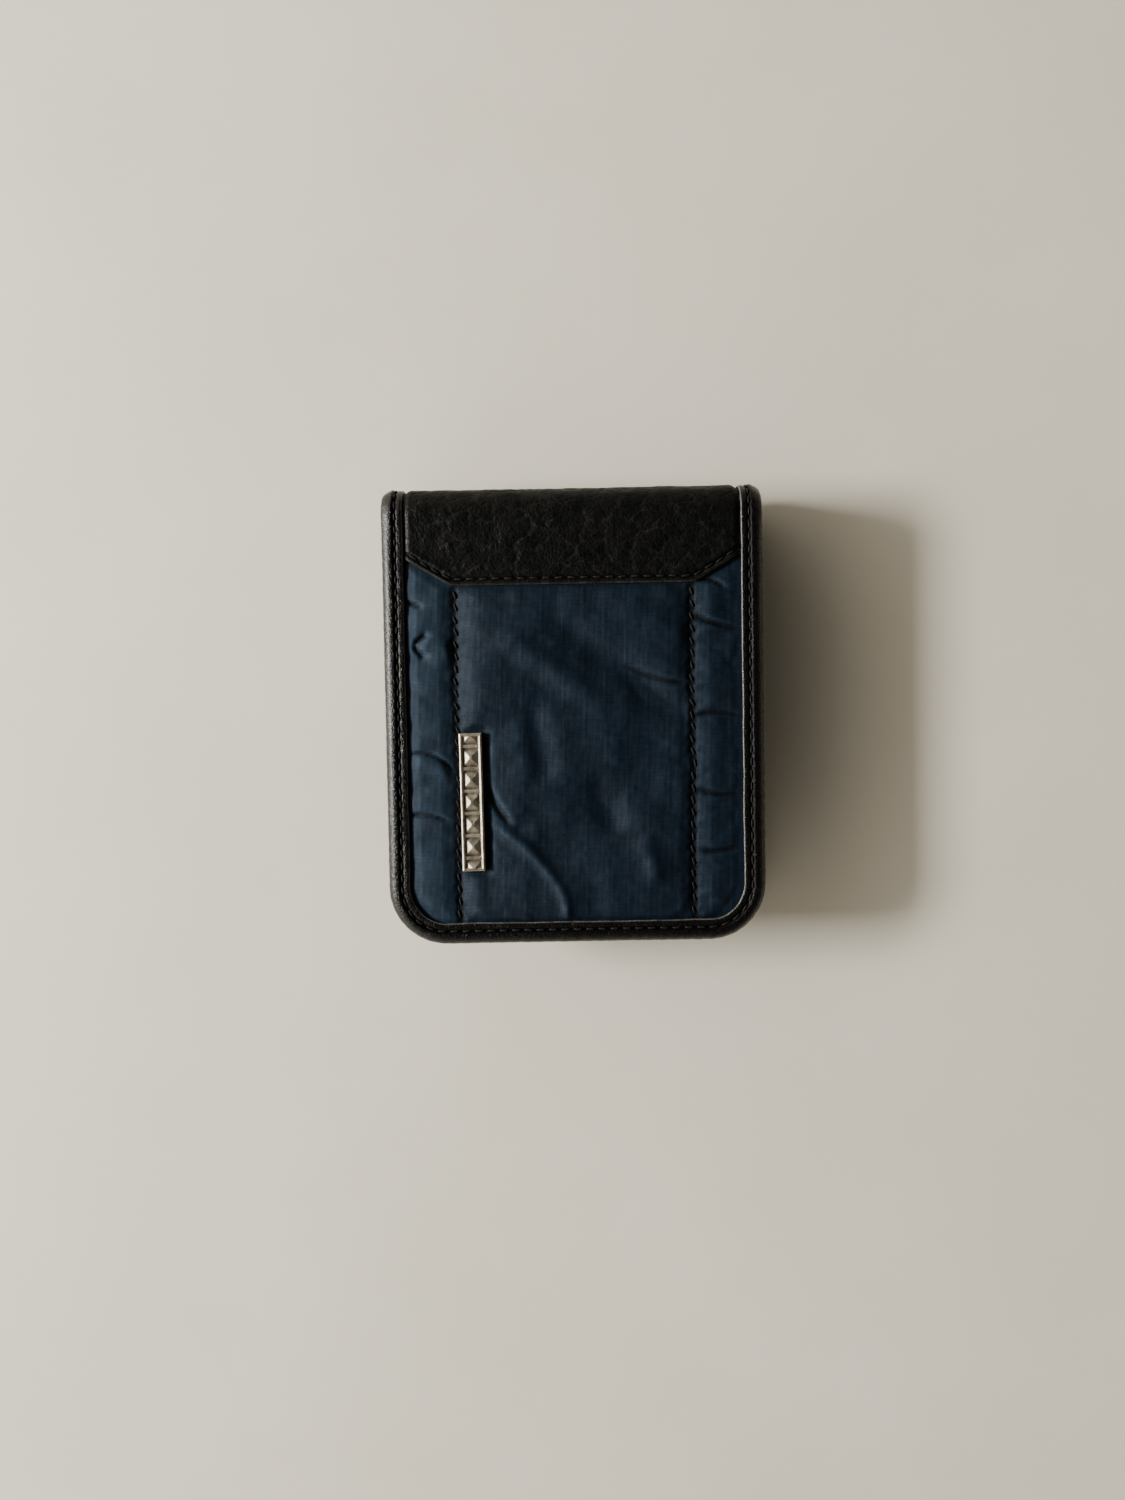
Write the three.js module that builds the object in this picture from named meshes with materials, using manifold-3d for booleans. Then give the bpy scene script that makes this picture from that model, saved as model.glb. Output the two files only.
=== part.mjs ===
// A folding wallet of three leaves: a padded front cover, a middle card leaf and a back cover with a coin
// pocket, all hinged at one leather spine. Millimetres. The closed wallet lies on its back cover: +Z is up,
// +X runs across the fold line and +Y points at the spine. The origin is the middle of its footprint.
import * as THREE from "three";
import { mergeVertices } from "three/addons/utils/BufferGeometryUtils.js";
import Module from "manifold-3d";

// Driving dimensions: the closed wallet seen from above.
const WIDTH = 95;
const LENGTH = 115;
const CORNER_R = 14.5;
const FOLD_R = 7;
const GAP = 0.2; // between the faces of stacked sheets
const CUT_GAP = 0.3; // between pieces that meet edge to edge

// Sheet thicknesses.
const NYLON = 0.5;
const WADDING = 0.8;
const LINING = 0.3;
const PANEL = 0.5;
const POCKET = 0.45;
const COIN_LEATHER = 0.6;
const BILL_GAP = 0.5;
const LEAF_CORE = 0.6;
const PANE = 0.3;
const LEAF_FRAME = 0.6;

// The leather binding that wraps a cover's edge.
const BINDING_WIDTH = 5.5;
const BINDING_WALL = 0.6;
const RIM_RISE = 0.3;
const RIM_WIDTH = 3.1;
const GROOVE_WIDTH = 0.8;
const GROOVE_DEPTH = 0.25;
const BINDING_WEB = 1.8;
const THREAD_R = 0.2;
const THREAD_LIFT = 0.1; // between a thread and the sheet that it lies on

// The leather yoke at the fold, over the nylon.
const YOKE_LENGTH = 25;
const YOKE_RISE = 7;
const YOKE_LAP = 9;
const SEAM_INSET = 18; // from the cover's side to the upright seam
const SEAM_THREAD_R = 0.25;
const HEM_INSET = 1.6; // from the yoke's lower edge to its stitched line
const HEM_GROOVE = { half: 0.45, depth: 0.6, thread: 0.3, end: 0.5 };

// The metal badge on the front cover, its two prongs and the plate behind the padding.
const BADGE = { width: 5.7, length: 34.6, height: 1.5, tilt: 0.01, bevel: 0.35, border: 1, relief: 0.25 };
const BADGE_FROM_SEAM = 3.5; // from the left seam to the badge's middle
const BADGE_FROM_END = 18.7; // from the cover's free end to the badge's lower end
const PRONG_R = 0.5;
const PRONG_SPAN = 24;
const BACKING = { width: 4, length: 30, thickness: 0.3, recess: 0.1 };

// Pockets, leaf, coin pocket and snap.
const CARD_POCKETS = 4;
const LEAF_POCKETS = 3;
const CARD_STEP = 12;
const MOUTH_MARGIN = 7.2;
const LEAF_INSET = 4.5;
const LEAF_END_INSET = 6.5;
const LEAF_CORNER_R = 8;
const LEAF_BAND = { width: 3.4, wall: 0.45, chamfer: 0.3 };
const HINGE_STRIP = 2.6;
const WINDOW_BORDER = 7;
const WINDOW_CORNER_R = 2;
const PANE_INSET = 2;
const COIN_DEPTH = 5;
const COIN_LENGTH = 74;
const COIN_FROM_END = 4.5; // from the end binding to the coin pocket
const COIN_FROM_MOUTH = 2.7; // from the banknote pocket's mouth to the coin pocket
const COIN_FROM_SIDE = 4.2;
const COIN_CORNER_R = 4;
const COIN_MOUTH = 13;
const GUSSET = { fold: 3, sheet: 0.8 };
const FLAP = { width: 56, length: 35, corner: 10 };
const SNAP_INSET = 8.5; // from the flap's tip to the snap
const SNAP_POST = { radius: 1.1, hole: 1.5 };
const STUD = { flange: 4, thickness: 0.4, knob: 1.7, height: 1.4, tail: 0.35 };
const RIVET = { radius: 3.5, thickness: 0.35 };
const SOCKET = { radius: 4, bore: 2.1, room: 1.7 };
const CAP = { radius: 5, rim: 0.3, shoulder: 0.65, height: 0.8 };

// Depths below a cover's outer face, from the layers above.
const SLOT_TOP = RIM_RISE + BINDING_WALL;
const layer = (start, thickness) => [start, start + thickness];
const NYLON_D = layer(SLOT_TOP + GAP, NYLON);
const WADDING_D = layer(NYLON_D[1] + GAP, WADDING);
const LINING_D = layer(WADDING_D[1] + GAP, LINING);
const PANEL_D = layer(LINING_D[1] + BILL_GAP, PANEL);
const YOKE_D = [0, NYLON_D[0] - GAP];
const SLOT_BOTTOM = PANEL_D[1] + GAP;
const RIM_HEIGHT = SLOT_BOTTOM + SLOT_TOP;
const BILL_STEP = SLOT_BOTTOM - LINING_D[1] - GAP;
const pocketDepth = (i) => layer(SLOT_BOTTOM + i * (POCKET + GAP), POCKET);

// Heights above the table, from the back cover up to the front cover.
const WALL_Z = layer(PANEL_D[1] + COIN_DEPTH, COIN_LEATHER);
const FLAP_LINING_Z = layer(WALL_Z[1] + SOCKET.room, LINING);
const FLAP_Z = layer(FLAP_LINING_Z[1] + GAP, COIN_LEATHER);
const COIN_FLOOR = PANEL_D[1] + GAP;
const COIN_CEILING = WALL_Z[0] - GAP;
const CAP_Z = layer(FLAP_Z[1] + GAP, CAP.height);
const leafPocketZ = (i) => layer(CAP_Z[1] + CUT_GAP + i * (POCKET + GAP), POCKET);
const CORE_Z = layer(leafPocketZ(LEAF_POCKETS)[0], LEAF_CORE);
const PANE_Z = layer(CORE_Z[1] + GAP, PANE);
const FRAME_Z = layer(PANE_Z[1] + GAP, LEAF_FRAME);
const THICKNESS = FRAME_Z[1] + CUT_GAP + pocketDepth(CARD_POCKETS - 1)[1];

// Places in plan.
const HALF = WIDTH / 2;
const EDGE_LOW = -LENGTH / 2;
const FOLD_Y = LENGTH / 2 - FOLD_R;
const FACE_X = HALF - BINDING_WIDTH;
const INSIDE_X = FACE_X - CUT_GAP;
const SHEET_INSET = BINDING_WEB + CUT_GAP;
const SHEET_X = HALF - SHEET_INSET;
const SHEET_LOW = EDGE_LOW + SHEET_INSET;
const SHEET_CORNER_R = CORNER_R - SHEET_INSET;
const FACE_LOW = EDGE_LOW + BINDING_WIDTH + CUT_GAP;
const FACE_CORNER_R = CORNER_R - BINDING_WIDTH;
const LAP = 1; // by which two joined pieces of one sheet overlap
const SEAM_X = HALF - SEAM_INSET;
const YOKE_LOW = LENGTH / 2 - YOKE_LENGTH;
const LAP_Y = YOKE_LOW + YOKE_LAP;
const YOKE_CORNER_X = SEAM_X + 1;
const FOLD_CUT = CUT_GAP / 2 / (FOLD_R - PANEL_D[1]);
const LEAF_ROOT_Y = LENGTH / 2 - PANEL_D[1] - CUT_GAP - GAP;
const BADGE_LOW_D = NYLON_D[0] - GAP;
const BADGE_X = BADGE_FROM_SEAM - SEAM_X;
const BADGE_Y = EDGE_LOW + BADGE_FROM_END + BADGE.length / 2;
const COIN_X = [COIN_FROM_SIDE - INSIDE_X, INSIDE_X - COIN_FROM_MOUTH];
const COIN_LOW = EDGE_LOW + BINDING_WIDTH + COIN_FROM_END;
const COIN_Y = [COIN_LOW, COIN_LOW + COIN_LENGTH];
const SNAP_X = COIN_X[1] - FLAP.length + SNAP_INSET;
const SNAP_Y = COIN_LOW + COIN_LENGTH / 2;
const FLAP_Y = [SNAP_Y - FLAP.width / 2, SNAP_Y + FLAP.width / 2];

const COLOURS = {
  nylon: [0x15283c, 0.55, 0],
  leather: [0x12120f, 0.5, 0],
  lining: [0x1b1c22, 0.8, 0],
  wadding: [0xd8d6cf, 0.95, 0],
  thread: [0x0b0b0d, 0.7, 0],
  metal: [0xa39d8c, 0.35, 1],
  pane: [0xdfe6e8, 0.1, 0],
};

const wasm = await Module();
wasm.setup();

const Y_AXIS = new THREE.Vector3(0, 1, 0);
const Z_AXIS = new THREE.Vector3(0, 0, 1);
const X_AXIS = new THREE.Vector3(1, 0, 0);

// ---- Booleans ----

function solidOf(geometry) {
  const bare = geometry.index ? geometry.toNonIndexed() : geometry.clone();
  bare.deleteAttribute("normal");
  bare.deleteAttribute("uv");
  const merged = mergeVertices(bare, 1e-4);
  return new wasm.Manifold(
    new wasm.Mesh({
      numProp: 3,
      vertProperties: merged.attributes.position.array,
      triVerts: new Uint32Array(merged.index.array),
    }),
  );
}

function geometryOf(solid) {
  const mesh = solid.getMesh();
  const geometry = new THREE.BufferGeometry();
  geometry.setAttribute("position", new THREE.BufferAttribute(mesh.vertProperties, 3));
  geometry.setIndex(new THREE.BufferAttribute(mesh.triVerts, 1));
  return geometry;
}

const join = (...parts) => geometryOf(parts.map(solidOf).reduce((a, b) => a.add(b)));
const cut = (body, ...tools) => geometryOf(tools.map(solidOf).reduce((a, b) => a.subtract(b), solidOf(body)));

// ---- Shapes ----

// A sheet in plan with its two low corners rounded.
function sheetShape(x0, x1, y0, y1, r0, r1 = r0) {
  const shape = new THREE.Shape();
  shape.moveTo(x0, y1);
  shape.lineTo(x0, y0 + r0);
  if (r0 > 0) shape.absarc(x0 + r0, y0 + r0, r0, Math.PI, 1.5 * Math.PI, false);
  shape.lineTo(x1 - r1, y0);
  if (r1 > 0) shape.absarc(x1 - r1, y0 + r1, r1, -Math.PI / 2, 0, false);
  shape.lineTo(x1, y1);
  shape.closePath();
  return shape;
}

function polygon(points) {
  return new THREE.Shape(points.map(([x, y]) => new THREE.Vector2(x, y)));
}

function slab(shape, [low, high]) {
  const options = { depth: high - low, bevelEnabled: false, curveSegments: 6 };
  return new THREE.ExtrudeGeometry(shape, options).translate(0, 0, low);
}

// A profile drawn in (Y, Z), run along X from x0 to x1.
function across(shape, x0, x1) {
  const options = { depth: x1 - x0, bevelEnabled: false, curveSegments: 5 };
  const turn = new THREE.Matrix4().makeBasis(Y_AXIS, Z_AXIS, X_AXIS);
  return new THREE.ExtrudeGeometry(shape, options).applyMatrix4(turn).translate(x0, 0, 0);
}

function box([x0, x1], [y0, y1], [z0, z1]) {
  return new THREE.BoxGeometry(x1 - x0, y1 - y0, z1 - z0).translate(
    (x0 + x1) / 2,
    (y0 + y1) / 2,
    (z0 + z1) / 2,
  );
}

function rod(radius, x, y, [low, high], sides = 16) {
  const turned = new THREE.CylinderGeometry(radius, radius, high - low, sides).rotateX(Math.PI / 2);
  return turned.translate(x, y, (low + high) / 2);
}

// A cover's sheet between two depths: flat from startY, then half of the quarter turn into the spine.
function coverBand([d0, d1], startY) {
  const end = -Math.PI / 4 - FOLD_CUT;
  const shape = new THREE.Shape();
  shape.moveTo(startY, d0);
  shape.lineTo(FOLD_Y, d0);
  shape.absarc(FOLD_Y, FOLD_R, FOLD_R - d0, -Math.PI / 2, end, false);
  shape.absarc(FOLD_Y, FOLD_R, FOLD_R - d1, end, -Math.PI / 2, true);
  shape.lineTo(startY, d1);
  shape.closePath();
  return shape;
}

// The spine's sheet between two depths: half a turn at each side of the straight middle.
function spineBand([d0, d1]) {
  const end = Math.PI / 4 - FOLD_CUT;
  const top = THICKNESS - FOLD_R;
  const shape = new THREE.Shape();
  shape.absarc(FOLD_Y, FOLD_R, FOLD_R - d0, -end, 0, false);
  shape.absarc(FOLD_Y, top, FOLD_R - d0, 0, end, false);
  shape.absarc(FOLD_Y, top, FOLD_R - d1, end, 0, true);
  shape.absarc(FOLD_Y, FOLD_R, FOLD_R - d1, 0, -end, true);
  shape.closePath();
  return shape;
}

// ---- Paths that a section is swept along ----

// An arc about centre from angle a0 to a1, in the plane of two unit directions.
class PlaneArc extends THREE.Curve {
  constructor(centre, u, v, radius, a0, a1) {
    super();
    Object.assign(this, { centre, u, v, radius, a0, a1 });
  }
  getPoint(t) {
    const angle = this.a0 + (this.a1 - this.a0) * t;
    const point = this.centre.clone();
    point.addScaledVector(this.u, this.radius * Math.cos(angle));
    return point.addScaledVector(this.v, this.radius * Math.sin(angle));
  }
}

// Curves joined end to end, each with its own number of steps, so that straight runs cost few triangles.
class SteppedPath extends THREE.Curve {
  constructor(runs) {
    super();
    this.runs = runs;
    this.steps = runs.reduce((sum, [, steps]) => sum + steps, 0);
  }
  getPoint(t) {
    let at = t * this.steps;
    for (const [curve, steps] of this.runs) {
      if (at <= steps) return curve.getPoint(at / steps);
      at -= steps;
    }
    return this.runs.at(-1)[0].getPoint(1);
  }
  getUtoTmapping(u) {
    return u; // samples follow the steps, not the arc length
  }
}

const at = (x, y, z) => new THREE.Vector3(x, y, z);
const line = (a, b) => new THREE.LineCurve3(a, b);

// The three bound edges of a sheet in plan, from the fold end of the left side round to the right side.
function edgeRuns(x, low, high, radius, z) {
  const y = low + radius;
  const corner = (cx, a0, a1) => new PlaneArc(at(cx, y, z), X_AXIS, Y_AXIS, radius, a0, a1);
  return [
    [line(at(-x, high, z), at(-x, y, z)), 1],
    [corner(-x + radius, Math.PI, 1.5 * Math.PI), 8],
    [line(at(-x + radius, low, z), at(x - radius, low, z)), 6],
    [corner(x - radius, 1.5 * Math.PI, 2 * Math.PI), 8],
    [line(at(x, y, z), at(x, high, z)), 1],
  ];
}

// A cover's outer edge, which ends in half of the turn into the spine at each side.
function coverEdge() {
  const end = -Math.PI / 4 - FOLD_CUT;
  const turn = (x, a0, a1) => new PlaneArc(at(x, FOLD_Y, FOLD_R), Y_AXIS, Z_AXIS, FOLD_R, a0, a1);
  return new SteppedPath([
    [turn(-HALF, end, -Math.PI / 2), 4],
    ...edgeRuns(HALF, EDGE_LOW, FOLD_Y, CORNER_R, 0),
    [turn(HALF, -Math.PI / 2, end), 4],
  ]);
}

// One side of the spine, from the front cover down to the back cover.
function spineEdge() {
  const end = Math.PI / 4 - FOLD_CUT;
  const turn = (z, a0, a1) => new PlaneArc(at(-HALF, FOLD_Y, z), Y_AXIS, Z_AXIS, FOLD_R, a0, a1);
  const y = LENGTH / 2;
  return new SteppedPath([
    [turn(THICKNESS - FOLD_R, end, 0), 4],
    [line(at(-HALF, y, THICKNESS - FOLD_R), at(-HALF, y, FOLD_R)), 1],
    [turn(FOLD_R, 0, -end), 4],
  ]);
}

// Sweeps a section given as [outward, up] points, where those two directions are known at the path's start.
function sweep(points, path, outward, up) {
  const frames = path.computeFrenetFrames(path.steps, false);
  const [n, b] = [frames.normals[0], frames.binormals[0]];
  const placed = points.map(([a, c]) => [
    a * outward.dot(n) + c * up.dot(n),
    a * outward.dot(b) + c * up.dot(b),
  ]);
  const options = { steps: path.steps, extrudePath: path, bevelEnabled: false };
  return new THREE.ExtrudeGeometry(polygon(placed), options);
}

const LEFT = X_AXIS.clone().negate();
const COVER_UP = at(0, 1, -1).normalize();
const SPINE_UP = at(0, 1, 1).normalize();

// The binding's section: a round rim, a stitch groove, a thin flange and the slot that holds the sheets.
function bindingSection() {
  const radius = RIM_HEIGHT / 2;
  const rim = [];
  for (let i = 0; i <= 8; i++) {
    const a = Math.PI / 2 - (Math.PI * i) / 8;
    rim.push([-radius + radius * Math.cos(a), -radius + radius * Math.sin(a)]);
  }
  const groove = RIM_RISE + GROOVE_DEPTH;
  return [
    [-BINDING_WIDTH, -RIM_RISE],
    [-RIM_WIDTH - GROOVE_WIDTH, -RIM_RISE],
    [-RIM_WIDTH - (3 * GROOVE_WIDTH) / 4, -groove],
    [-RIM_WIDTH - GROOVE_WIDTH / 4, -groove],
    ...rim,
    [-RIM_WIDTH, RIM_RISE / 2 - RIM_HEIGHT],
    [-RIM_WIDTH - GROOVE_WIDTH, RIM_RISE - RIM_HEIGHT],
    [-BINDING_WIDTH, RIM_RISE - RIM_HEIGHT],
    [-BINDING_WIDTH, -SLOT_BOTTOM],
    [-BINDING_WEB, -SLOT_BOTTOM],
    [-BINDING_WEB, -SLOT_TOP],
    [-BINDING_WIDTH, -SLOT_TOP],
  ];
}

function roundSection(outward, up, radius, sides = 6) {
  return Array.from({ length: sides }, (_, i) => {
    const a = (2 * Math.PI * i) / sides;
    return [outward + radius * Math.cos(a), up + radius * Math.sin(a)];
  });
}

const THREAD_SECTION = roundSection(
  -RIM_WIDTH - GROOVE_WIDTH / 2,
  -RIM_RISE - GROOVE_DEPTH + THREAD_R + THREAD_LIFT,
  THREAD_R,
);

// Along the mouth of the banknote pocket the binding wraps the padded shell only, so its inner wall steps up.
function stepUpAtMouth(geometry) {
  const places = geometry.attributes.position;
  const startX = HALF - CORNER_R; // the wall rises round the corner
  for (let i = 0; i < places.count; i++) {
    const share = THREE.MathUtils.smoothstep(places.getX(i), startX, FACE_X - CUT_GAP);
    const inner = THREE.MathUtils.smoothstep(places.getZ(i), SLOT_TOP, SLOT_BOTTOM);
    if (places.getY(i) < FOLD_Y + GAP) places.setZ(i, places.getZ(i) - BILL_STEP * share * inner);
  }
  return geometry;
}

// ---- Nodes ----

function node(name, colour, geometry) {
  const [color, roughness, metalness] = COLOURS[colour];
  const mesh = new THREE.Mesh(geometry, new THREE.MeshStandardMaterial({ color, roughness, metalness }));
  mesh.name = name;
  return mesh;
}

function nylonShape() {
  return sheetShape(-SHEET_X, SHEET_X, SHEET_LOW, LAP_Y - CUT_GAP, SHEET_CORNER_R);
}

// The yoke laps over the nylon in plan, then takes the nylon's place up to the fold.
function yokeGeometry() {
  const lap = polygon([
    [-INSIDE_X, FOLD_Y],
    [-INSIDE_X, YOKE_LOW + YOKE_RISE],
    [-YOKE_CORNER_X, YOKE_LOW],
    [YOKE_CORNER_X, YOKE_LOW],
    [INSIDE_X, YOKE_LOW + YOKE_RISE],
    [INSIDE_X, FOLD_Y],
  ]);
  const thick = across(coverBand([YOKE_D[0], NYLON_D[1]], LAP_Y), -INSIDE_X, INSIDE_X);
  const skived = across(coverBand(NYLON_D, LAP_Y), -SHEET_X, SHEET_X);
  const { half, depth } = HEM_GROOVE;
  const groove = hemSweep([[-half, -1], [half, -1], [half, depth], [-half, depth]], HEM_GROOVE.end);
  return cut(join(slab(lap, YOKE_D), thick, skived), groove);
}

// The stitched line of the yoke's hem runs along its lower edge, from one binding to the other.
function hemSweep(section, endGap) {
  const inset = HEM_INSET;
  const x = INSIDE_X - endGap;
  const slope = YOKE_RISE / (INSIDE_X - YOKE_CORNER_X);
  const y = YOKE_LOW + inset;
  const points = [
    at(-x, y + slope * (x - YOKE_CORNER_X), 0),
    at(-YOKE_CORNER_X, y, 0),
    at(YOKE_CORNER_X, y, 0),
    at(x, y + slope * (x - YOKE_CORNER_X), 0),
  ];
  const runs = points.slice(1).map((point, i) => [line(points[i], point), 1]);
  const bend = Math.atan(slope);
  const outward = at(-Math.sin(bend), -Math.cos(bend), 0);
  return sweep(section, new SteppedPath(runs), outward, Z_AXIS);
}

function seamThread(x) {
  const z = NYLON_D[0] - SEAM_THREAD_R - THREAD_LIFT;
  const run = new SteppedPath([[line(at(x, FACE_LOW, z), at(x, YOKE_LOW - CUT_GAP, z)), 1]]);
  return sweep(roundSection(0, 0, SEAM_THREAD_R), run, X_AXIS, Z_AXIS);
}

// The wall between banknotes and pockets. Its right edge is free, so that corner stays off the binding.
function innerPanel() {
  const notchX = HALF - CORNER_R - CUT_GAP;
  const flat = sheetShape(-SHEET_X, notchX, SHEET_LOW, FOLD_Y, SHEET_CORNER_R, 0);
  const right = sheetShape(notchX - LAP, INSIDE_X, FACE_LOW, FOLD_Y, 0, FACE_CORNER_R);
  const turn = across(coverBand(PANEL_D, FOLD_Y - LAP), -SHEET_X, INSIDE_X);
  return join(slab(flat, PANEL_D), slab(right, PANEL_D), turn);
}

// The pieces that both covers share, with z as the depth below the cover's outer face.
function coverShell(prefix) {
  const path = coverEdge();
  const name = (piece) => `${prefix}_${piece}`;
  const lining = join(
    slab(sheetShape(-SHEET_X, SHEET_X, SHEET_LOW, FOLD_Y, SHEET_CORNER_R), LINING_D),
    across(coverBand(LINING_D, FOLD_Y - LAP), -SHEET_X, SHEET_X),
  );
  const wadding = sheetShape(-SHEET_X, SHEET_X, SHEET_LOW, FOLD_Y - CUT_GAP, SHEET_CORNER_R);
  const hemThread = roundSection(0, HEM_GROOVE.thread, THREAD_R);
  return {
    nylon: node(name("nylon_panel"), "nylon", slab(nylonShape(), NYLON_D)),
    wadding: node(name("wadding"), "wadding", slab(wadding, WADDING_D)),
    others: [
      node(name("yoke_leather"), "leather", yokeGeometry()),
      node(name("lining"), "lining", lining),
      node(name("inner_panel"), "lining", innerPanel()),
      node(name("binding"), "leather", stepUpAtMouth(sweep(bindingSection(), path, LEFT, COVER_UP))),
      node(name("binding_thread"), "thread", sweep(THREAD_SECTION, path, LEFT, COVER_UP)),
      node(name("yoke_thread"), "thread", hemSweep(hemThread, 2 * HEM_GROOVE.end)),
      node(name("seam_thread_left"), "thread", seamThread(-SEAM_X)),
      node(name("seam_thread_right"), "thread", seamThread(SEAM_X)),
    ],
  };
}

// The badge, a bar with a raised border, stands on two prongs that pass through the nylon.
function badgePieces() {
  const { width, length, height, bevel, border, relief } = BADGE;
  const blank = polygon([
    [-width / 2 + bevel, -length / 2 + bevel],
    [width / 2 - bevel, -length / 2 + bevel],
    [width / 2 - bevel, length / 2 - bevel],
    [-width / 2 + bevel, length / 2 - bevel],
  ]);
  const options = {
    depth: height - 2 * bevel,
    bevelThickness: bevel,
    bevelSize: bevel,
    bevelSegments: 2,
  };
  const plate = new THREE.ExtrudeGeometry(blank, options).translate(0, 0, BADGE_LOW_D - height + bevel);
  const recess = box(
    [border - width / 2, width / 2 - border],
    [border - length / 2, length / 2 - border],
    [BADGE_LOW_D - height - border, BADGE_LOW_D - height + relief],
  );
  const ends = [-PRONG_SPAN / 2, PRONG_SPAN / 2];
  const prongs = ends.map((y) => rod(PRONG_R, 0, y, [BADGE_LOW_D - relief, WADDING_D[1]], 10));
  const holes = ends.map((y) => rod(PRONG_R + CUT_GAP, 0, y, [0, LINING_D[0]], 12));
  const middle = (WADDING_D[0] + WADDING_D[1]) / 2;
  const half = BACKING.thickness / 2;
  const backing = box(
    [-BACKING.width / 2, BACKING.width / 2],
    [-BACKING.length / 2, BACKING.length / 2],
    [middle - half, middle + half],
  );
  const room = box(
    [-BACKING.width / 2 - CUT_GAP, BACKING.width / 2 + CUT_GAP],
    [-BACKING.length / 2 - CUT_GAP, BACKING.length / 2 + CUT_GAP],
    [middle - half - BACKING.recess, LINING_D[0]],
  );
  const place = (geometry) => geometry.rotateZ(BADGE.tilt).translate(BADGE_X, BADGE_Y, 0);
  return {
    badge: place(join(cut(plate, recess), ...prongs)),
    backing: place(cut(backing, ...holes)),
    holes: holes.map(place),
    room: place(room),
  };
}

// Card pockets are strips that start at the left edge and stop one step short of the strip behind.
function cardPocket(i, x0, low, high, radius, depths) {
  const mouth = INSIDE_X - MOUTH_MARGIN - i * CARD_STEP;
  return slab(sheetShape(x0, mouth, low, high, radius, 0), depths);
}

function frontCover() {
  const shell = coverShell("front");
  const metal = badgePieces();
  const group = new THREE.Group();
  shell.nylon.geometry = cut(shell.nylon.geometry, ...metal.holes);
  shell.wadding.geometry = cut(shell.wadding.geometry, ...metal.holes, metal.room);
  group.add(shell.nylon, shell.wadding, ...shell.others);
  group.add(node("badge_bar", "metal", metal.badge), node("badge_backing_plate", "metal", metal.backing));
  for (let i = 0; i < CARD_POCKETS; i++) {
    const strip = cardPocket(i, -INSIDE_X, FACE_LOW, FOLD_Y - LAP, FACE_CORNER_R, pocketDepth(i));
    group.add(node(`front_card_pocket_${i + 1}`, "leather", strip));
  }
  group.position.z = THICKNESS;
  group.scale.z = -1; // a cover is drawn outer face down, so the front one is turned over
  return group;
}

// A gusset folded inwards along its middle, at one end of the coin pocket.
function gusset(y, inward) {
  const [low, high] = [COIN_FLOOR, COIN_CEILING];
  const middle = (low + high) / 2;
  const fold = y + inward * GUSSET.fold;
  const sheet = inward * GUSSET.sheet;
  const shape = polygon([
    [y, low],
    [fold, middle],
    [y, high],
    [y + sheet, high],
    [fold + sheet, middle],
    [y + sheet, low],
  ]);
  return across(shape, COIN_X[0] + COIN_LEATHER + CUT_GAP, COIN_X[1] - COIN_LEATHER - CUT_GAP);
}

// The half of the snap that stands on the coin pocket's wall: a stud, riveted from inside the pocket.
function snapStud() {
  const { flange, thickness, knob, height, tail } = STUD;
  const foot = WALL_Z[1] + GAP / 2;
  const stud = join(
    rod(flange, SNAP_X, SNAP_Y, [foot, foot + thickness]),
    rod(knob, SNAP_X, SNAP_Y, [foot, WALL_Z[1] + height]),
    rod(SNAP_POST.radius, SNAP_X, SNAP_Y, [WALL_Z[0] - tail, WALL_Z[1] + thickness], 12),
  );
  const rivetTop = WALL_Z[0] - GAP / 2;
  const rivet = cut(
    rod(RIVET.radius, SNAP_X, SNAP_Y, [rivetTop - RIVET.thickness, rivetTop]),
    rod(SNAP_POST.radius + CUT_GAP, SNAP_X, SNAP_Y, [0, THICKNESS], 12),
  );
  return [node("snap_stud", "metal", stud), node("snap_stud_rivet", "metal", rivet)];
}

function backCover() {
  const shell = coverShell("back");
  const group = new THREE.Group();
  const hole = rod(SNAP_POST.hole, SNAP_X, SNAP_Y, [0, THICKNESS]);
  const wall = sheetShape(COIN_X[0], COIN_X[1] - COIN_LEATHER - COIN_MOUTH, ...COIN_Y, COIN_CORNER_R);
  const fold = box([COIN_X[0], COIN_X[0] + COIN_LEATHER], COIN_Y, [COIN_FLOOR, COIN_CEILING]);
  const root = box([COIN_X[1] - COIN_LEATHER, COIN_X[1]], FLAP_Y, [COIN_FLOOR, FLAP_LINING_Z[0] - CUT_GAP]);
  group.add(shell.nylon, shell.wadding, ...shell.others);
  group.add(
    node("coin_pocket_wall", "leather", cut(slab(wall, WALL_Z), hole)),
    node("coin_pocket_fold", "leather", fold),
    node("coin_gusset_free_end", "lining", gusset(COIN_Y[0], 1)),
    node("coin_gusset_spine_end", "lining", gusset(COIN_Y[1], -1)),
    node("coin_flap_root", "leather", root),
    ...snapStud(),
  );
  return group;
}

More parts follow.
